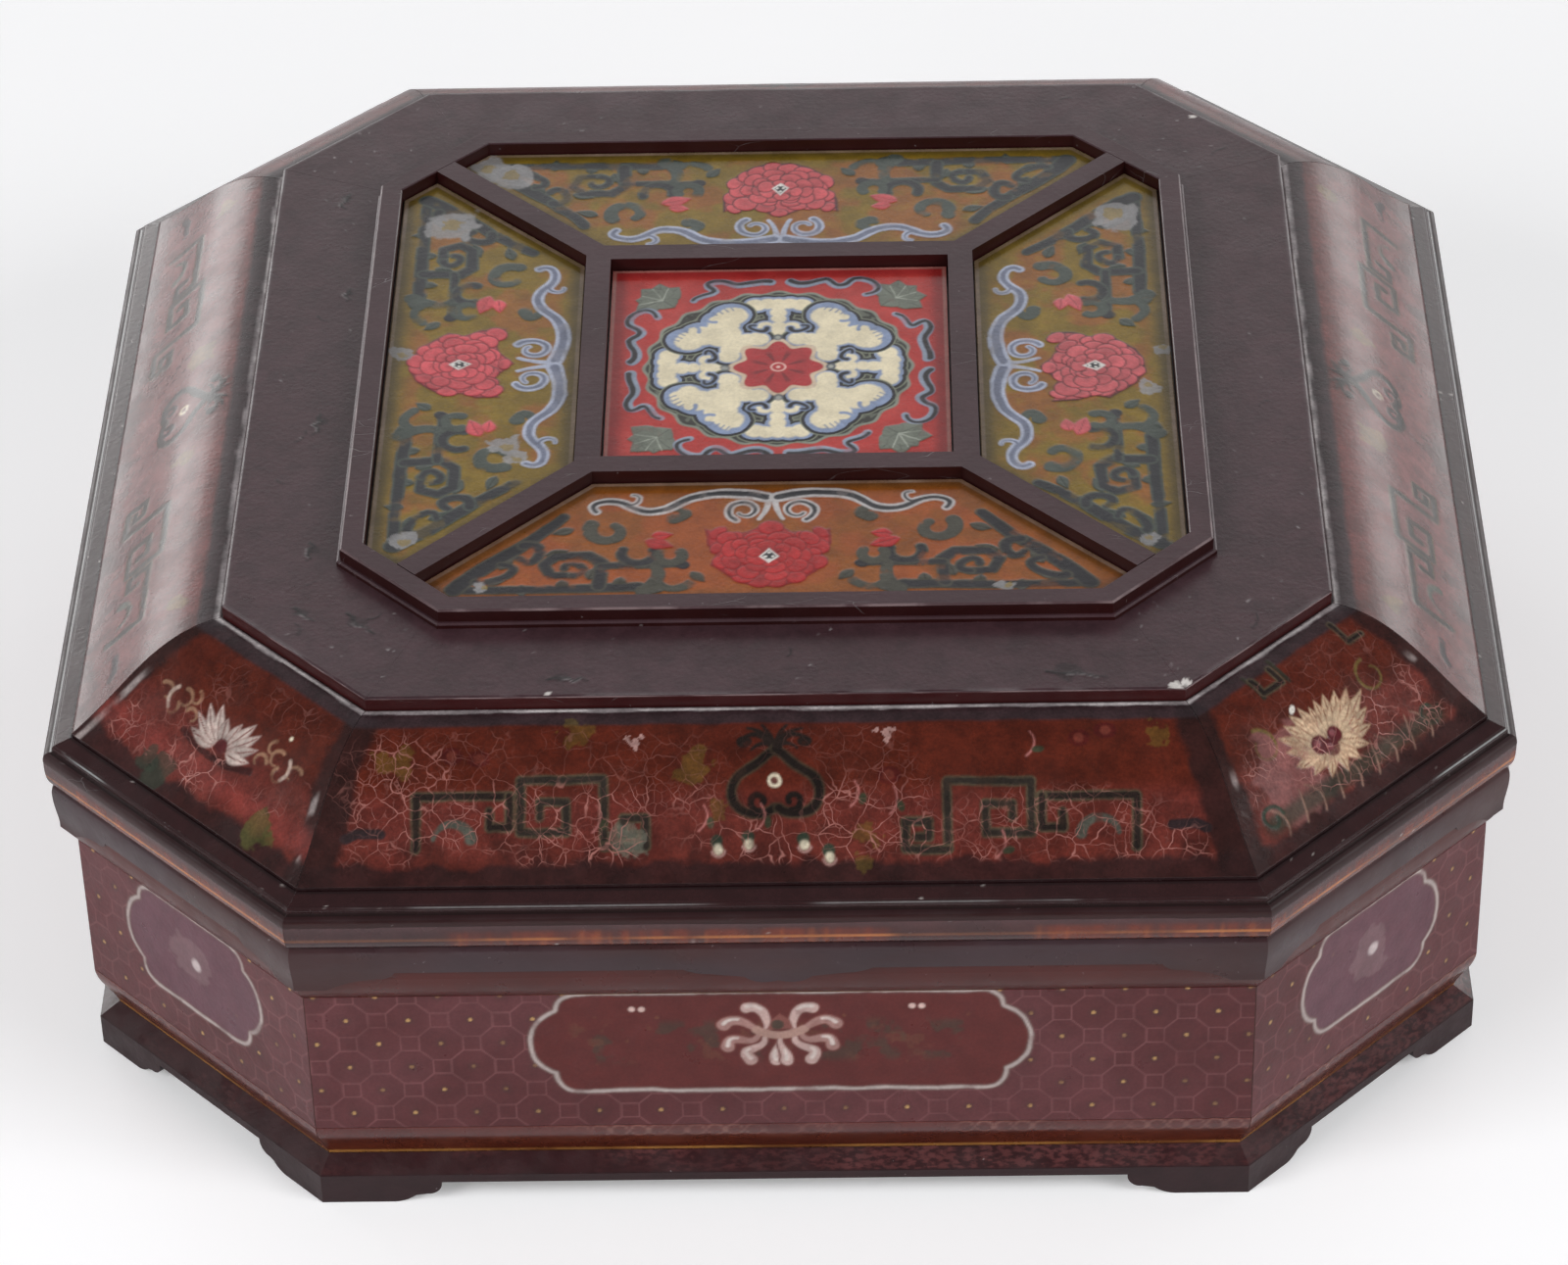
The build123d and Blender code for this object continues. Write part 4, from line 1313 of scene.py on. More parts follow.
def leaf_scroll(canvas, sign, shift, dark, leaf, bud):
    """One half of a panel's fret and leaf scrolls beside the flower."""
    halo = leaf * 0.95

    def lay(points, width, colour, end_width=None):
        """A mirrored stroke over a wider one in the halo's colour."""
        points = mirrored(points, sign, shift)
        end_width = width if end_width is None else end_width
        canvas.stroke(points, width + 1.5, halo, end_width=end_width + 1.3, wear=1.3)
        canvas.stroke(points, width, colour, end_width=end_width, wear=0.7)

    for x, y, turn, length in (
        (54, 78, 20, 7),
        (62, 90, 200, 7),
        (74, 96, 240, 7),
        (78, 102, 190, 6),
        (41, 100, 80, 6),
        (50, 101, 250, 6),
        (33, 92, 100, 6),
        (22, 98, 130, 6),
        (29, 103, 60, 6),
        (57, 101, 100, 5),
        (68, 103, 95, 6),
    ):
        root = np.array([shift + sign * x, y])
        petal(canvas, root, turn if sign > 0 else 180 - turn, length, 3.6, leaf, leaf * 0.45)
    lay(((36, 104.6), (52, 105), (70, 105.4), (86, 105.2)), 3.0, dark, 2.4)
    lay(spline(((86, 105), (76, 93), (67, 84), (57.5, 72.5)), 0.9), 4.4, dark, 2.6)
    lay(spline(((68, 85), (63.6, 88), (65.4, 92.4), (69, 91)), 0.8), 2.6, dark, 1.8)
    lay(spline(((80, 101.4), (73, 99.6), (70.4, 96), (73.6, 93.6)), 0.8), 2.2, dark, 1.4)
    lay(
        ((47, 104), (46.4, 93.5), (50, 90), (59, 90.2), (62, 94), (60, 99), (54, 99.2)),
        3.0,
        dark,
        2.2,
    )
    lay(spline(((54, 99), (51.4, 96), (54.4, 93.6), (56.6, 96)), 0.7), 1.8, dark, 1.4)
    lay(((46.6, 95), (36, 95), (24.6, 94.6)), 1.9, dark)
    canvas.spot((shift + sign * 24.4, 95), 2.0, dark)
    lay(arc((36.4, 89.6), 4.6, 200, -20), 2.2, dark)
    lay(arc((27.6, 90.6), 3.2, 210, -30), 1.8, leaf)
    lay(spline(((31.6, 95.4), (31, 100), (34.4, 106.6)), 0.8), 1.8, leaf, 4.0)
    lay(curl((45, 79), 5.6, -30, 0.72, 0.55), 3.0, leaf, 1.8)
    lay(spline(((27, 73.6), (24, 71.4), (26.4, 69.4)), 0.6), 3.2, leaf, 1.6)
    lay(spline(((22, 103), (26.6, 105.6), (31, 103.4)), 0.7), 1.8, leaf)
    petal(canvas, np.array([shift + sign * 35.0, 83.8]), 90 + sign * 70, 9.0, 5.0, bud, bud * 0.5)
    petal(
        canvas, np.array([shift + sign * 33.0, 81.6]), 90 + sign * 95, 6.0, 4.0, bud * 1.15,
        bud * 0.5,
    )


def peony(canvas, centre, flesh, outline):
    """A peony: lobed petals laid from the outside in, each with its own outline."""
    x, y = centre
    shape = (
        (-17.5, -12.5), (-12, -9.5), (-6, -11), (0, -15.5), (6, -11), (12, -9.5), (17, -12.0),
        (17, -5), (14.6, -0.5), (16.2, 4), (12.6, 8), (8.6, 12), (3, 14.4),
        (-3, 14.4), (-8.6, 12), (-12.6, 8), (-16, 4), (-14.6, -0.5), (-17, -5),
    )
    shape = np.array(shape) + centre
    canvas.fill(shape, outline, wear=0.2)
    canvas.fill((shape - centre) * 0.95 + centre, flesh * 0.9, wear=0.2)
    rng = np.random.default_rng(canvas.seed + 90)
    for ring, radius in ((0.82, 3.4), (0.62, 3.8), (0.42, 3.4), (0.24, 2.8)):
        for k, (px, py) in enumerate(shape - centre):
            if ring < 0.7 and k % (2 if ring > 0.4 else 3):
                continue
            size = radius * rng.uniform(0.8, 1.15)
            place = (
                x + px * ring + rng.uniform(-0.6, 0.6), y + py * ring + rng.uniform(-0.6, 0.6),
            )
            squash, lean = rng.uniform(0.62, 0.95), math.degrees(math.atan2(py, px)) + 90
            tone = rng.uniform(0.85, 1.15)
            canvas.spot(place, size, outline, squash=squash, turn=lean, wear=0.2)
            canvas.spot(
                place, size - 0.42, flesh * tone, squash=squash, turn=lean, relief=0.08, wear=0.1
            )
            inner = (place[0] - px * 0.06, place[1] - py * 0.06)
            canvas.spot(
                inner, size * 0.4, flesh * tone * 0.8, squash=squash, soft=1.0, relief=0.08, wear=0
            )
    diamond = np.array([(x, y - 3.2), (x + 2.6, y + 0.6), (x, y + 3.4), (x - 2.6, y + 0.6)])
    canvas.fill(diamond, "d8d4d0", soft=0.3, relief=0.1, wear=0)
    canvas.fill((diamond - centre) * 0.7 + centre, "2a2a30", soft=0.25, relief=0.1, wear=0)
    for dx, dy in ((0, -1.2), (-0.9, 0.5), (0.9, 0.5), (0, 1.9)):
        canvas.spot((x + dx, y + dy), 0.45, "e2ded8", soft=0.2, relief=0.12, wear=0)


PANEL_PAINT = {
    0: dict(
        flower=(-2, 91), flesh="ab2a2c", outline="7c1a1c", accent="94481c",
        patches=((62, 106, 3), (-80, 104, 2.4)),
    ),
    2: dict(
        flower=(-3, 90),
        flesh="c25a60",
        outline="4a2428",
        accent="8a5222",
        patches=((75, 99, 8), (-14, 105, 3.6), (5, 110, 3), (-86, 102, 3)),
    ),
    4: dict(
        flower=(0, 91), flesh="c45258", outline="4a2228", accent="8c5222",
        patches=((80, 101, 9), (87, 104, 6)),
    ),
    6: dict(
        flower=(-2, 91),
        flesh="c85058",
        outline="6a242c",
        accent="8c5624",
        patches=((-75, 97, 8), (-8, 108, 4), (38, 76, 5), (44, 73, 4), (82, 102, 4)),
    ),
}


def panel_edge_gap(u, v, lengths, rows):
    """Distance to the nearest edge of a side panel, in millimetres."""
    ends = (lengths[:, None] - np.abs(u)) * math.sqrt(0.5)
    return np.minimum(np.minimum(ends, rows.max() - v), v - rows.min())


def side_panel_ornament(canvas, index, edge_gap):
    """Side panel: peony, fret and leaf scrolls, cloud scroll and flaked patches."""
    look = PANEL_PAINT[index]
    ground = colour_of("orange") if index == 0 else colour_of("ochre")
    panel_ground(canvas, ground, linear(look["accent"]), edge_gap)
    dark = linear("262428") if index == 0 else linear("2d2d31")
    leaf = linear("45433a") if index == 0 else linear("474e48")
    core = linear("333236") if index == 0 else linear("6f7488")
    pale = linear("b9b4b4") if index == 0 else linear("aab0c4")
    shift = look["flower"][0]
    for sign in (-1, 1):
        leaf_scroll(canvas, sign, shift * 0.6, dark, leaf, linear(look["flesh"]))
        cloud_scroll(canvas, sign, shift * 0.7, core, pale)
    peony(canvas, look["flower"], linear(look["flesh"]), linear(look["outline"]))
    for k, (x, y, radius) in enumerate(look["patches"]):
        canvas.patch((x, y), radius, "8f8d8e", 101 + 9 * index + k, cover=0.85)
        canvas.patch((x + 1, y), radius * 0.4, "8a7434", 131 + k, cover=0.7)


def union_of_discs(x, y, discs):
    """Distance inside a union of discs: the largest of radius less distance."""
    return np.max([radius - np.hypot(x - cx, y - cy) for cx, cy, radius in discs], axis=0)


def cloud_head(canvas, turn, discs, shading=0.9):
    """A ruyi cloud: cream lobes with a blue-grey rim inside a dark outline.

    The lobes are a union of discs in axes turned by turn degrees, so that x runs
    outward from the medallion's middle.
    """
    c, s = cos_sin(turn)
    at = canvas.near([(0, 0)], CLOUD_REACH)
    u = canvas.u[at] + 0.9 * canvas.wobble_u[at]
    v = canvas.v[at] + 0.9 * canvas.wobble_v[at] + MEDALLION_DROP
    x, y = c * u + s * v, c * v - s * u
    depth = union_of_discs(x, y, discs)
    canvas.lay_at(at, ramp(depth, -1.3, -0.9), "7d8270", 0.03, 0.1)
    canvas.lay_at(at, ramp(depth, -0.85, -0.5), CLOUD_DARK, 0.05, 0.1)
    canvas.lay_at(at, ramp(depth, 0.2, 0.5), CLOUD_BLUE, 0.07, 0.1)
    outer = shading * ramp(x, 18, 32) * clouds(x, y, 4, canvas.seed + int(turn))
    inner = ramp(depth - 3.2 * outer, 0.5, 1.5)
    canvas.lay_at(at, inner, colour_of("cream"), 0.1, 0.05)


def turned(points, turn):
    """Points of an axis running outward, turned about the medallion's middle."""
    points = np.array(points, float)
    c, s = cos_sin(turn)
    x, y = c * points[:, 0] - s * points[:, 1], s * points[:, 0] + c * points[:, 1]
    return np.stack([x, y - MEDALLION_DROP], -1)


def maple_leaf(canvas, centre, turn):
    """A grey-green palmate leaf: five pointed lobes with pale veins."""
    grey_green, vein = linear("70756a"), linear("a3a89c")
    rng = np.random.default_rng(canvas.seed + int(turn) + 400)
    for lean in (-80, -40, 0, 40, 80, 180):
        length = rng.uniform(7.6, 9.8) * (0.7 if lean == 180 else 1.0)
        petal(
            canvas, np.array(centre, float), turn + lean, length, 7.6, grey_green,
            grey_green * 0.55,
        )
    for lean in (-60, -20, 20, 60):
        tip = np.radians(turn + lean)
        end = (centre[0] + 6.5 * math.cos(tip), centre[1] + 6.5 * math.sin(tip))
        canvas.stroke((centre, end), 0.5, vein, end_width=0.3, soft=0.25)


def medallion_panel(canvas, edge_gap):
    """Centre panel: a round medallion of cloud heads on red, with leaves and scrolls."""
    u, v = canvas.u, canvas.v
    canvas.lay(ramp(clouds(u, v, 10, 5), 0.4, 0.7) * 0.35, "c04a44")
    # Painted shade along the frame, standing for the frame wall's shadow and reflection on the
    # glossy panel
    canvas.lay(ramp(6 - edge_gap, 0, 3.5) * 0.6, "8c2226")
    canvas.lay(ramp(0.8 - np.abs(edge_gap - 0.6), 0, 0.4) * 0.5, "b08a80")
    for sx, sy, turn in ((-1, 1, 135), (1, 1, 45), (-1, -1, 225), (1, -1, 315)):
        maple_leaf(canvas, (sx * 34.0, sy * 34.0 - 1.2), turn)
    border = (
        spline(
            (
                (3, 43.2), (9, 42.2), (14, 43.4), (17, 40.6), (19.4, 41.4), (21, 43.6), (27, 42.8),
                (28.8, 39.0), (25.4, 36.0),
            ),
            0.7,
        ),
        spline(
            (
                (-3, 43.2), (-8, 42.6), (-13, 41.6), (-18, 43.4), (-21.4, 41.8), (-19.4, 38.6),
                (-22.6, 36.4), (-25.4, 33.8),
            ),
            0.7,
        ),
    )
    for turn in range(4):
        c, s = round(math.cos(turn * math.pi / 2)), round(math.sin(turn * math.pi / 2))
        for line in border:
            points = np.stack(
                [c * line[:, 0] - s * line[:, 1], s * line[:, 0] + c * line[:, 1]], -1
            )
            points = points * 0.985 + np.array([0.4, -0.8])
            canvas.stroke(points, 3.4, "8c96a8", end_width=2.4, relief=0.05, wear=0.6)
            canvas.stroke(points * 1.012, 1.7, "2a262a", end_width=1.1, wear=0.3)
    reach = np.hypot(u, v + MEDALLION_DROP)
    angle = np.arctan2(v + MEDALLION_DROP, u)
    lobes = 0.7 * np.cos(24 * angle)
    canvas.lay(ramp(38.2 + lobes - reach, -0.4, 0.4), "83887c", 0.03)
    canvas.lay(ramp(37.2 + lobes - reach, -0.3, 0.3), "34332e", 0.03)
    speckle = ramp(noise(u, v, 1.5, 77), 0.55, 0.75) * ramp(37 - reach, 0, 0.5)
    canvas.lay(speckle * 0.5, "7c8274")
    canvas.lay(ramp(13.6 - reach, 0, 1.2), "c4b496", 0.05)
    flank = (
        (31.4, -6.4, 4.4), (31.4, 6.4, 4.4), (32.0, -3.2, 4.2), (32.0, 3.2, 4.2), (31.4, 0, 4.6),
        (27.6, 0, 3.9), (24.4, 0, 3.4), (20.4, -3.8, 3.4), (20.4, 3.8, 3.4), (20.2, 0, 3.6),
        (17.6, 0, 3.0),
    )
    head = (
        (28.4, -8.6, 6.6),
        (28.4, 8.6, 6.6),
        (27.6, -4.4, 6.8),
        (27.6, 4.4, 6.8),
        (24.0, 0, 7.4),
        (18.5, 0, 5.4),
        (14.2, -5.8, 4.2),
        (14.2, 5.8, 4.2),
        (16.2, -3.0, 4.2),
        (16.2, 3.0, 4.2),
    )
    for turn in range(0, 360, 90):
        cloud_head(canvas, turn, flank, 0.3)
    for turn in range(45, 360, 90):
        cloud_head(canvas, turn, head)
        for sign in (-1, 1):
            hook = spline(
                ((16.2, sign * 11.6), (17.6, sign * 8.4), (20.4, sign * 8.6), (19.6, sign * 10.2)),
                0.5,
            )
            canvas.stroke(turned(hook, turn), 2.6, CLOUD_BLUE, end_width=1.8, relief=0.1, wear=0.1)
            canvas.stroke(turned(hook, turn), 1.5, CLOUD_DARK, end_width=1.0, relief=0.1, wear=0.1)
            ear = curl((31.6, sign * 4.4), 2.6, sign * 200, sign * 0.6, 0.5)
            canvas.stroke(turned(ear, turn), 1.3, CLOUD_BLUE, end_width=0.8, relief=0.1, wear=0.1)
            for k in range(4):
                tick = (
                    (33.4 - 0.5 * k, sign * (6.4 + 1.7 * k)),
                    (31.4 - 0.5 * k, sign * (6.2 + 1.6 * k)),
                )
                canvas.stroke(turned(tick, turn), 0.45, "7d88a2", relief=0.1, wear=0.1)
    star = 11.4 + 1.5 * np.cos(8 * angle)
    canvas.lay(ramp(star + 1.6 - reach, -0.5, 0.5), "cdb8a0", 0.08)
    canvas.lay(ramp(star - reach, -0.4, 0.4), "a82f33", 0.09)
    rays = (
        ramp(np.cos(8 * angle + math.pi), 0.35, 0.95) * ramp(reach, 2.4, 4.0)
        * ramp(9.4 - reach, 0, 3)
    )
    canvas.lay(rays * 0.75, "6a1f24")
    canvas.lay(ramp(0.5 - np.abs(reach - 2.0), 0, 0.4), "d8a8a0", 0.1)
    canvas.lay(ramp(0.8 - reach, 0, 0.4), "e0b8b0", 0.1)
    for turn in range(4):
        quarter = turn * math.pi / 2
        place = (15.0 * math.cos(quarter), 15.0 * math.sin(quarter) - MEDALLION_DROP)
        canvas.spot(place, 1.5, "5a5f66", soft=0.4)
        canvas.spot(place, 0.8, "a2a49c", soft=0.3)
    canvas.colour = np.clip(canvas.colour, 0, 1)


# Lifted flakes as (along, in from the edge, half length), and chips with a radius
TOP_FLAKES = {
    0: ((-55, 7, 5), (80, 7, 8), (-118, 20, 5)),
    6: ((85, 22, 4), (25, 20, 5), (-40, 24, 3), (-90, 20, 4)),
    7: ((4, 20, 6), (-10, 12, 4)),
}
TOP_CHIPS = {0: ((106, 1.2, 1.8), (-60, 0.8, 0.8)), 1: ((-27.5, 1.5, 1.6),), 3: ((4, 2, 1.0),)}

# The top board's ring in millimetres: its width and its lift on the long and the
# slanting sides, and how far its skins overlap at the mitres
TOP_RING = (34.2, 36.8)
TOP_LIFT = (0.04, 0.06)
TOP_OVERLAP = 0.2


def top_ornament(canvas, index):
    """Top board round the frame: mottling, short cracks, specks, flakes and chips.

    Here u runs along the side and v is the distance in from the board's edge.
    """
    u, v = canvas.u, canvas.v
    seed = canvas.seed
    worn = colour_of("worn")
    outward, along = side_axes(index)
    reach = side_distance(index) - (HALF_WIDTH - TOP_HALF) - v
    x, y = outward[0] * reach + along[0] * u, outward[1] * reach + along[1] * u
    canvas.lay(ramp(clouds(x, y, 30, 61), 0.4, 0.7) * 0.35, linear("4a343a"))
    canvas.lay(ramp(clouds(x, y, 5, 62), 0.55, 0.75) * 0.25, linear("2e1f24"))
    # Pale patchy line at the board's outer edge: rubbed paint and a painted highlight
    canvas.lay(ramp(0.9 - v, 0, 0.6) * ramp(clouds(x, y, 14, 63), 0.4, 0.62) * 0.7, worn * 0.5)
    rng = np.random.default_rng(seed)
    for _ in range(3 if index in (6, 7) else 1):
        x, y = rng.uniform(-0.8, 0.8) * np.abs(u).max(), rng.uniform(6, v.max() - 9)
        turn, reach = rng.uniform(0, math.pi), rng.uniform(1.5, 3.5)
        c, s = math.cos(turn), math.sin(turn)
        line = spline(
            (
                (x - reach * c, y - reach * s), (x + 0.8 * s, y - 0.8 * c),
                (x + reach * c, y + reach * s),
            ),
            0.6,
        )
        canvas.stroke(line, 0.7, linear("1c1014"), end_width=0.3, wear=0.2)
    for _ in range(14):
        place = (rng.uniform(-1, 1) * np.abs(u).max(), rng.uniform(1, v.max() - 5))
        canvas.spot(
            place, rng.uniform(0.2, 0.4), worn * rng.uniform(0.35, 0.8), soft=0.25, relief=0.08
        )
    for x, y, length in TOP_FLAKES.get(index, ()):
        across = np.linspace(-length, length, 7)
        edge = np.stack([x + across, y - 0.12 * across + rng.uniform(-1.1, 1.1, 7)], -1)
        canvas.patch(
            (x - 0.3 * length, y + 0.6), 0.45 * length, linear("24161a"), seed + 9, cover=0.7
        )
        canvas.stroke(edge, 1.2, linear("160b0e"), end_width=0.5, wear=0)
        canvas.stroke(
            edge[2:6] - np.array([0.0, 0.7]), 0.45, worn * 0.45, end_width=0.3, relief=0.12,
            wear=0.3,
        )
    for x, y, radius in TOP_CHIPS.get(index, ()):
        canvas.patch((x, y), radius, linear("d9d3cf"), seed + int(abs(x)), cover=0.95)


# Helpers of the operators


def dress(node, material):
    """Give a CAD node its material."""
    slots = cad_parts[node].data.materials
    slots.clear()
    slots.append(material)


def inside_material():
    """The inside lacquer, made once."""
    return bpy.data.materials.get("inside_lacquer") or inside_lacquer()


def area_lamp(name, place, width, height, power):
    """A rectangular soft lamp at place, facing LAMP_AIM; lengths in metres."""
    lamp = bpy.data.lights.new(name, "AREA")
    lamp.shape = "RECTANGLE"
    lamp.size = width
    lamp.size_y = height
    lamp.energy = power
    holder = bpy.data.objects.new(name, lamp)
    bpy.context.scene.collection.objects.link(holder)
    holder.location = place
    holder.rotation_euler = (Vector(LAMP_AIM) - Vector(place)).to_track_quat("-Z", "Y").to_euler()


# Lamps as (name, place, width, height, share of the set power), and where they aim
LAMPS = (
    ("lamp_left", (-1.5, -1.1, 1.15), 1.1, 1.0, 1.08),
    ("lamp_right", (1.5, -1.0, 1.15), 1.1, 1.0, 1.0),
    ("lamp_back_left", (-1.45, 1.9, 0.5), 1.5, 0.9, 0.5),
    ("lamp_back_right", (1.45, 1.9, 0.5), 1.3, 0.7, 0.22),
)
LAMP_AIM = (0, 0, 0.08)

# Glow added to the floor for the camera alone, the distances in metres between
# which it turns white to the camera, and the strength of that white
FLOOR_GLOW = 0.24
FLOOR_FAR = (1.0, 2.0)
FLOOR_WHITE = 0.97

# The camera, in millimetres and degrees: it looks over the front and down
CAMERA_PLACE = (27.95, -1301.03, 1048.81)
CAMERA_YAW = -1.248
CAMERA_PITCH = 37.626
CAMERA_ROLL = -1.502
CAMERA_LENS = 127.38
CAMERA_SENSOR = 36.0


# Operators, one for each piece or group of like pieces


class LACQUER_OT_ogee(bpy.types.Operator):
    """Painted skins of the eight sloping ogee boards."""

    bl_idname = "lacquer.ogee"
    bl_label = "Ogee boards"

    def execute(self, context):
        material = painted_lacquer(
            "ogee_paint", linear("ad736b"), 0.25, coat=0.1, mottle=0.26, specular=0.35
        )
        board = dark_lacquer("ogee_board", linear("241012"), linear("241012"), 0.4)
        painters = {0: ogee_front, 1: ogee_front_right, 7: ogee_front_left}
        for index, side in enumerate(SIDES):
            step = grid_step(index)
            profile = spline(OGEE_PROFILE, step)
            lengths = half_length(index, profile[:, 0]) - MITRE_GAP
            canvas = strip_canvas(profile, lengths, step, colour_of("ogee"), 300 + index)
            if index in painters:
                painters[index](canvas)
            else:
                ogee_side(canvas, index)
                canvas.crackle *= 0.25
            canvas.crackle *= 1 - 0.7 * ramp(canvas.colour[..., 1], 0.15, 0.3)
            mount_skin("ogee_paint", index, profile, canvas, material, "lid", "ogee_lacquer")
            dress(f"ogee_{side}", board)
        return {"FINISHED"}


class LACQUER_OT_walls(bpy.types.Operator):
    """Painted skins of the eight wall boards."""

    bl_idname = "lacquer.walls"
    bl_label = "Walls"

    def execute(self, context):
        material = painted_lacquer("wall_paint", linear("8a6064"), 0.34, mottle=0.1, specular=0.3)
        for index, side in enumerate(SIDES):
            step = grid_step(index)
            profile = even_steps(((WALL_OFFSET, WALL_BOTTOM), (WALL_OFFSET, WALL_TOP)), step)
            lengths = half_length(index, profile[:, 0]) - MITRE_GAP
            canvas = strip_canvas(profile, lengths, step, colour_of("wall"), 500 + index)
            wall_ornament(canvas, index)
            mount_skin("wall_paint", index, profile, canvas, material, "base", "wall_lacquer")
            dress(f"wall_{side}", inside_material())
        return {"FINISHED"}


class LACQUER_OT_cove(bpy.types.Operator):
    """Painted skins of the cove's eight lengths."""

    bl_idname = "lacquer.cove"
    bl_label = "Cove"

    def execute(self, context):
        material = painted_lacquer("cove_paint", linear("8a5a4c"), 0.28, coat=0.2, mottle=0.12)
        for index in range(len(SIDES)):
            profile = spline(COVE_PROFILE, 0.45)
            lengths = half_length(index, profile[:, 0]) - MITRE_GAP
            canvas = strip_canvas(profile, lengths, 0.8, colour_of("cove"), 600 + index)
            cove_ornament(canvas, 600 + index)
            mount_skin("cove_paint", index, profile, canvas, material, "base", "cove_lacquer")
        board = dark_lacquer("cove_board", colour_of("cove"), colour_of("cove"), 0.4)
        dress("cove_moulding", board)
        return {"FINISHED"}


class LACQUER_OT_rim(bpy.types.Operator):
    """Painted skins of the lid's rim: bead, groove, arris and ledge."""

    bl_idname = "lacquer.rim"
    bl_label = "Rim"

    def execute(self, context):
        material = painted_lacquer("rim_paint", linear("8a7a7c"), 0.24, coat=0.3, mottle=0.12)
        board = dark_lacquer("rim_board", linear("2a1416"), colour_of("edge"), 0.36)
        bead = spline(RIM_BEAD, 0.5)
        ledge = even_steps(RIM_LEDGE, 0.45)
        profile = np.concatenate([bead, ledge])
        bead_end = developed(bead)[-1]
        for index, side in enumerate(SIDES):
            lengths = half_length(index, profile[:, 0]) - MITRE_GAP / 2
            canvas = strip_canvas(profile, lengths, 0.9, colour_of("dark"), 700 + index)
            rim_ornament(canvas, index, bead_end)
            mount_skin(
                "rim_paint", index, profile, canvas, material, "lid", "dark_lacquer", lift=0.0,
                depth=1.2,
            )
            dress(f"rim_{side}", board)
        return {"FINISHED"}


class LACQUER_OT_panels(bpy.types.Operator):
    """Paint of the four side panels."""

    bl_idname = "lacquer.panels"
    bl_label = "Side panels"

    def execute(self, context):
        material = painted_lacquer(
            "panel_paint", linear("6f6450"), 0.3, coat=0.3, mottle=0.14, specular=0.25
        )
        # Beside a bar a panel ends where its half length is rows - band, and at the
        # frame's cut corner where the two add up to cut_sum
        gap = 0.4
        band = (BAR_WIDTH / 2 + gap) * math.sqrt(2)
        frame_diagonal = (2 * FRAME_HALF - FRAME_CUT) / math.sqrt(2)
        cut_sum = math.sqrt(2) * (frame_diagonal - STICK_WIDTH - gap)
        knee = (cut_sum + band) / 2
        step = sizes().fine_step / MM
        for index in range(0, 8, 2):
            rows = np.linspace(
                PANEL_REACH, PANEL_START, int((PANEL_REACH - PANEL_START) / step) + 1
            )
            lengths = np.where(rows > knee, cut_sum - rows, rows - band) - MITRE_GAP
            profile = np.stack([-rows, np.full(rows.shape, PANEL_TOP)], -1)
            canvas = strip_canvas(profile, lengths, step, colour_of("ochre"), 800 + index)
            canvas.v = np.repeat(rows[:, None], canvas.u.shape[1], axis=1)
            side_panel_ornament(canvas, index, panel_edge_gap(canvas.u, canvas.v, lengths, rows))
            mount_skin(
                "panel_paint", index, profile, canvas, material, "lid", "side_panel_paint",
                distance=0.0,
            )
            dress(f"panel_{SIDES[index]}", inside_material())
        return {"FINISHED"}


class LACQUER_OT_medallion(bpy.types.Operator):
    """Paint of the square centre panel."""

    bl_idname = "lacquer.medallion"
    bl_label = "Centre panel"

    def execute(self, context):
        material = painted_lacquer(
            "medallion_paint", linear("7a5a50"), 0.3, coat=0.3, mottle=0.1, specular=0.25
        )
        step = 0.32
        half = CENTRE_HALF - MITRE_GAP
        rows = np.linspace(-half, half, int(2 * half / step) + 1)
        lengths = np.full(rows.shape, half)
        profile = np.stack([rows, np.full(rows.shape, PANEL_TOP)], -1)
        canvas = strip_canvas(profile, lengths, step, colour_of("red"), 900)
        canvas.v = np.repeat(rows[:, None], canvas.u.shape[1], axis=1)
        gap_here = half - np.maximum(np.abs(canvas.u), np.abs(canvas.v))
        medallion_panel(canvas, gap_here)
        mount_skin(
            "medallion_paint", None, profile, canvas, material, "lid", "centre_panel_paint",
            distance=0.0,
        )
        dress("panel_centre", inside_material())
        return {"FINISHED"}


class LACQUER_OT_top(bpy.types.Operator):
    """Lacquer of the top board round the frame, with its flakes and chips."""

    bl_idname = "lacquer.top"
    bl_label = "Top board"

    def execute(self, context):
        material = painted_lacquer("top_paint", linear("8a7a7c"), 0.33, mottle=0.14, specular=0.45)
        for index in range(len(SIDES)):
            outer = HALF_WIDTH - TOP_HALF + 0.15
            inner = outer + TOP_RING[index % 2]
            profile = even_steps(((outer, TOP_HEIGHT), (inner, TOP_HEIGHT)), 0.7)
            lengths = half_length(index, profile[:, 0]) + TOP_OVERLAP
            canvas = strip_canvas(profile, lengths, 0.75, colour_of("dark"), 1000 + index)
            top_ornament(canvas, index)
            mount_skin(
                "top_paint", index, profile, canvas, material, "lid", "dark_lacquer",
                lift=TOP_LIFT[index % 2],
            )
        return {"FINISHED"}


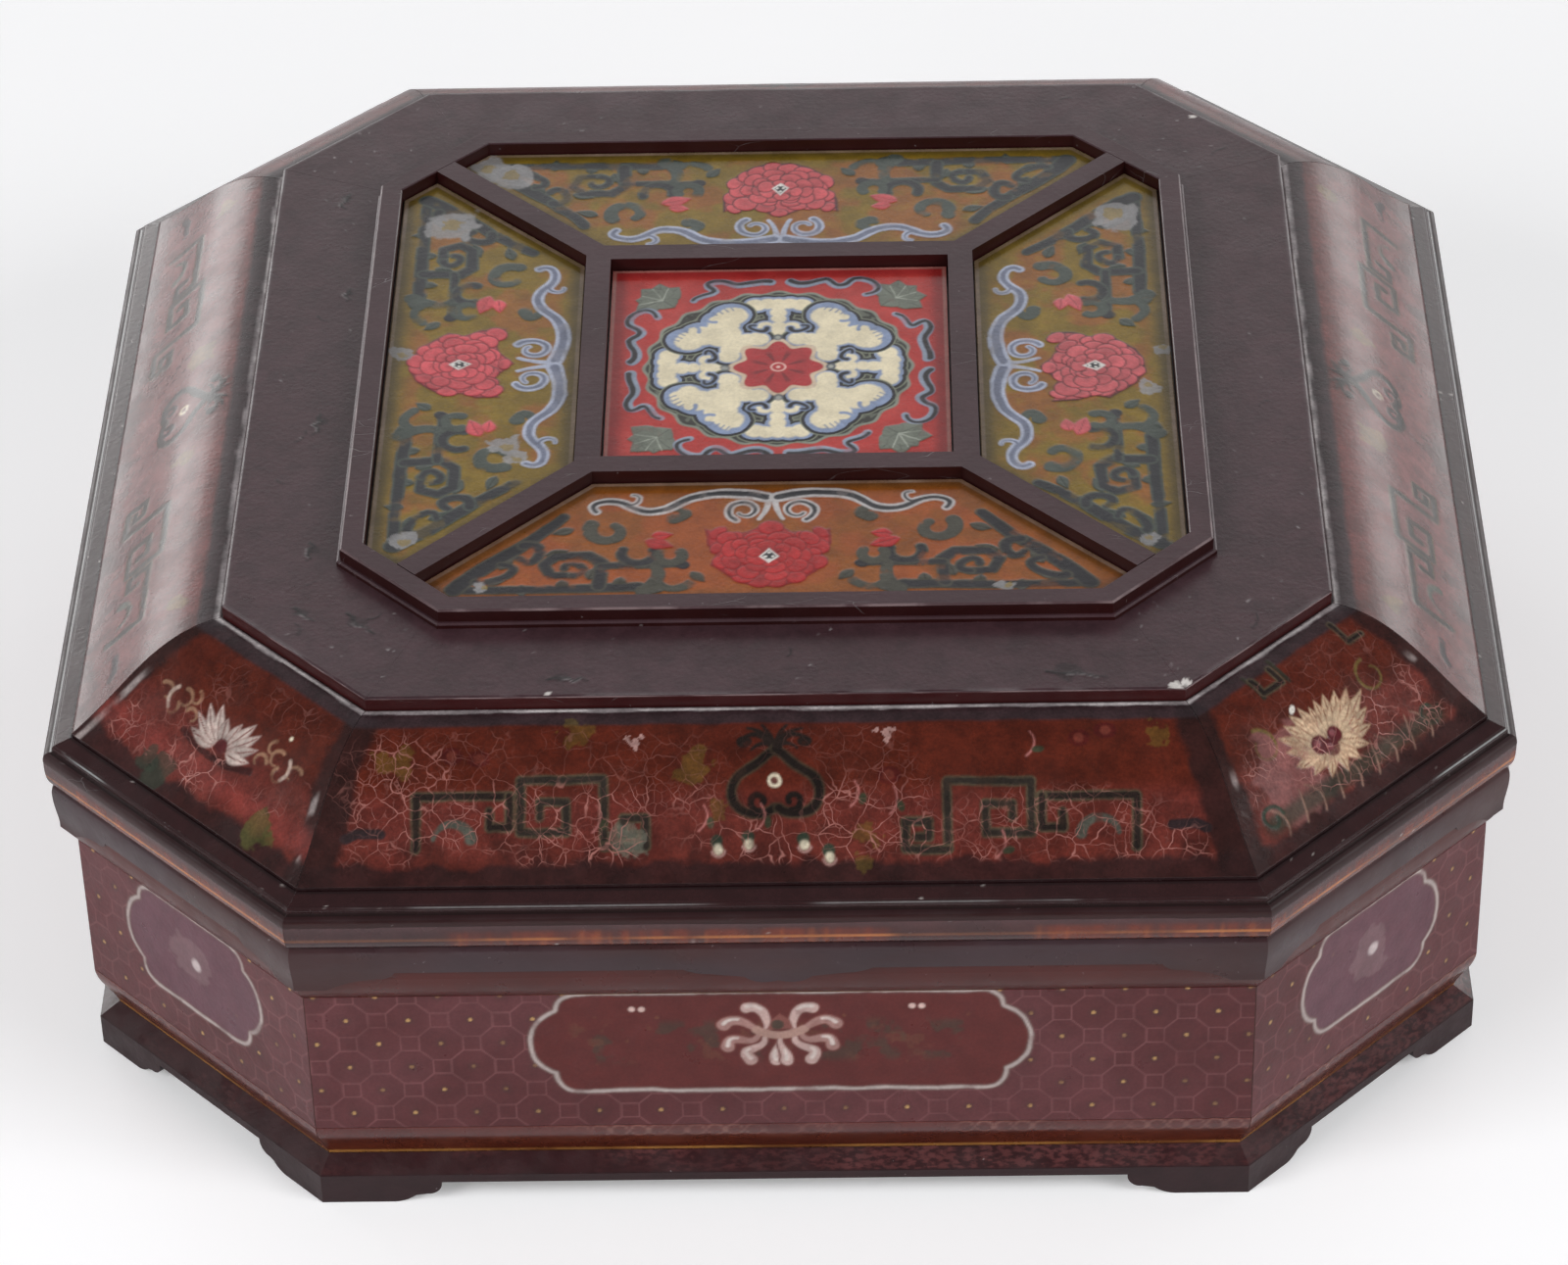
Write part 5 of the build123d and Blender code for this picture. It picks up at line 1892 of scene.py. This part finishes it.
class LACQUER_OT_boards(bpy.types.Operator):
    """Lacquer of the top board, frame, bars, waist, plinth and inside."""

    bl_idname = "lacquer.boards"
    bl_label = "Boards and frame"

    def execute(self, context):
        top_cut = CORNER_CUT - (2 - math.sqrt(2)) * (HALF_WIDTH - TOP_HALF)
        top = dark_lacquer(
            "top_lacquer",
            colour_of("dark"),
            linear("3a1213"),
            0.36,
            [(TOP_HALF, top_cut, TOP_HEIGHT)],
        )
        bars = dark_lacquer(
            "frame_lacquer",
            colour_of("dark"),
            colour_of("edge"),
            0.34,
            [(FRAME_HALF, FRAME_CUT, FRAME_TOP)],
        )
        waist = waist_lacquer()
        plinth = plinth_lacquer()
        dress("top_board", top)
        dress("centre_bars", bars)
        dress("diagonal_bars", bars)
        dress("bottom_board", inside_material())
        dress("locating_lip", inside_material())
        for side in SIDES:
            dress(f"frame_{side}", bars)
            dress(f"waist_{side}", waist)
            dress(f"plinth_{side}", plinth)
        return {"FINISHED"}


class LACQUER_OT_stage(bpy.types.Operator):
    """Pale floor, soft lamps, even world light and the camera."""

    bl_idname = "lacquer.stage"
    bl_label = "Studio"

    def execute(self, context):
        settings = context.scene.studio_settings
        self.add_floor(settings)
        self.add_lights(context, settings)
        self.add_camera(context)
        context.scene.view_settings.view_transform = "Standard"
        return {"FINISHED"}

    def add_floor(self, settings):
        """A large flat disc of grid rings just under the feet."""
        rings = np.array([0.0, 0.5, 1.5, 6.0, 30.0])
        angles = np.linspace(0, 2 * math.pi, 48, endpoint=False)
        points = np.stack(
            [
                np.outer(rings, np.cos(angles)),
                np.outer(rings, np.sin(angles)),
                np.full((len(rings), len(angles)), -0.05 * MM),
            ],
            -1,
        )
        grid = np.arange(points[..., 0].size).reshape(len(rings), len(angles))
        ahead = np.roll(grid, -1, axis=1)
        faces = quad_rows(grid[1:-1], grid[2:], ahead[2:], ahead[1:-1]).tolist()
        middle = grid[1].tolist()
        mesh = bpy.data.meshes.new("floor")
        mesh.from_pydata(points.reshape(-1, 3), [], faces + [middle])
        floor = bpy.data.objects.new("floor", mesh)
        bpy.context.scene.collection.objects.link(floor)
        material, tree = new_tree("floor_paper")
        place = put(tree, "ShaderNodeTexCoord").outputs["Object"]
        fleck = spread(tree, noisy(tree, place, 0.004), 0.3, 0.7, 0.99, 1.0)
        colour = mixed(tree, 1.0, np.array(settings.floor_colour), grey(tree, fleck), "MULTIPLY")
        shader = put(tree, "ShaderNodeBsdfDiffuse", {"Color": colour})
        seen = put(tree, "ShaderNodeLightPath").outputs["Is Camera Ray"]
        lift = product(tree, seen, FLOOR_GLOW)
        glow = put(tree, "ShaderNodeEmission", {"Strength": lift})
        both = put(tree, "ShaderNodeAddShader", {0: shader.outputs[0], 1: glow.outputs[0]})
        reach = put(tree, "ShaderNodeVectorMath", {0: place}, operation="LENGTH").outputs["Value"]
        far = product(tree, spread(tree, reach, *FLOOR_FAR), seen)
        white = put(tree, "ShaderNodeEmission", {"Strength": FLOOR_WHITE})
        shown = put(tree, "ShaderNodeMixShader", {0: far, 1: both.outputs[0], 2: white.outputs[0]})
        put(tree, "ShaderNodeOutputMaterial", {"Surface": shown.outputs[0]})
        mesh.materials.append(material)

    def add_lights(self, context, settings):
        """World light, brighter behind and white to the camera, and soft lamps."""
        world = bpy.data.worlds.new("studio")
        world.use_nodes = True
        tree = world.node_tree
        tree.nodes.clear()
        seen = put(tree, "ShaderNodeLightPath").outputs["Is Camera Ray"]
        ahead = put(tree, "ShaderNodeTexCoord").outputs["Generated"]
        parts = put(tree, "ShaderNodeSeparateXYZ", {0: ahead})
        behind = spread(tree, parts.outputs[1], 0.1, 0.6)
        low = spread(tree, parts.outputs[2], 0.5, 0.68, 1.0, 0.0)
        paper = product(tree, product(tree, behind, low), settings.paper_strength)
        strength = maths(tree, "ADD", paper, settings.world_strength)
        strength = maths(tree, "MAXIMUM", strength, seen)
        background = put(
            tree,
            "ShaderNodeBackground",
            {"Color": (1.0, 1.0, 1.0, 1.0), "Strength": strength},
        )
        put(tree, "ShaderNodeOutputWorld", {"Surface": background.outputs[0]})
        context.scene.world = world
        for name, place, width, height, share in LAMPS:
            area_lamp(name, place, width, height, settings.lamp_power * share)

    def add_camera(self, context):
        """Camera from its place, its yaw, its pitch down and its roll."""
        yaw, pitch, roll = (math.radians(a) for a in (CAMERA_YAW, CAMERA_PITCH, CAMERA_ROLL))
        ahead = np.array(
            [math.sin(yaw) * math.cos(pitch), math.cos(yaw) * math.cos(pitch), -math.sin(pitch)]
        )
        right = np.cross(ahead, [0, 0, 1])
        right /= np.linalg.norm(right)
        up = np.cross(right, ahead)
        turned_right = math.cos(roll) * right + math.sin(roll) * up
        turned_up = -math.sin(roll) * right + math.cos(roll) * up
        matrix = np.eye(4)
        matrix[:3, 0] = turned_right
        matrix[:3, 1] = turned_up
        matrix[:3, 2] = -ahead
        matrix[:3, 3] = np.array(CAMERA_PLACE) * MM
        camera = bpy.data.cameras.new("camera")
        camera.lens = CAMERA_LENS
        camera.sensor_width = CAMERA_SENSOR
        camera.sensor_fit = "HORIZONTAL"
        camera.clip_start = 0.05
        camera.clip_end = 100.0
        holder = bpy.data.objects.new("camera", camera)
        context.scene.collection.objects.link(holder)
        holder.matrix_world = Matrix(matrix.tolist())
        context.scene.camera = holder


OPERATORS = (
    LACQUER_OT_boards,
    LACQUER_OT_top,
    LACQUER_OT_ogee,
    LACQUER_OT_rim,
    LACQUER_OT_walls,
    LACQUER_OT_cove,
    LACQUER_OT_panels,
    LACQUER_OT_medallion,
    LACQUER_OT_stage,
)


class LACQUER_PT_box(bpy.types.Panel):
    """Sizes, colours and pieces of the lacquer box."""

    bl_label = "Lacquer Box"
    bl_idname = "LACQUER_PT_box"
    bl_space_type = "VIEW_3D"
    bl_region_type = "UI"
    bl_category = "Lacquer Box"

    def draw(self, context):
        groups = (
            ("Sizes", context.scene.lacquer_sizes),
            ("Colours", context.scene.lacquer_colours),
            ("Studio", context.scene.studio_settings),
        )
        for title, group in groups:
            box = self.layout.box()
            box.label(text=title)
            for name in group.bl_rna.properties.keys():
                if name not in ("rna_type", "name"):
                    box.prop(group, name)
        for operator in OPERATORS:
            self.layout.operator(operator.bl_idname)


CLASSES = (LacquerSizes, LacquerColours, StudioSettings, *OPERATORS, LACQUER_PT_box)


def register():
    """Register the classes and hang the settings on the scene."""
    for item in CLASSES:
        bpy.utils.register_class(item)
    bpy.types.Scene.lacquer_sizes = bpy.props.PointerProperty(type=LacquerSizes)
    bpy.types.Scene.lacquer_colours = bpy.props.PointerProperty(type=LacquerColours)
    bpy.types.Scene.studio_settings = bpy.props.PointerProperty(type=StudioSettings)


def unregister():
    """Take the settings off the scene and unregister the classes."""
    del bpy.types.Scene.studio_settings
    del bpy.types.Scene.lacquer_colours
    del bpy.types.Scene.lacquer_sizes
    for item in reversed(CLASSES):
        bpy.utils.unregister_class(item)


def main():
    register()
    for operator in OPERATORS:
        group, name = operator.bl_idname.split(".")
        getattr(getattr(bpy.ops, group), name)()


if __name__ == "__main__":
    main()
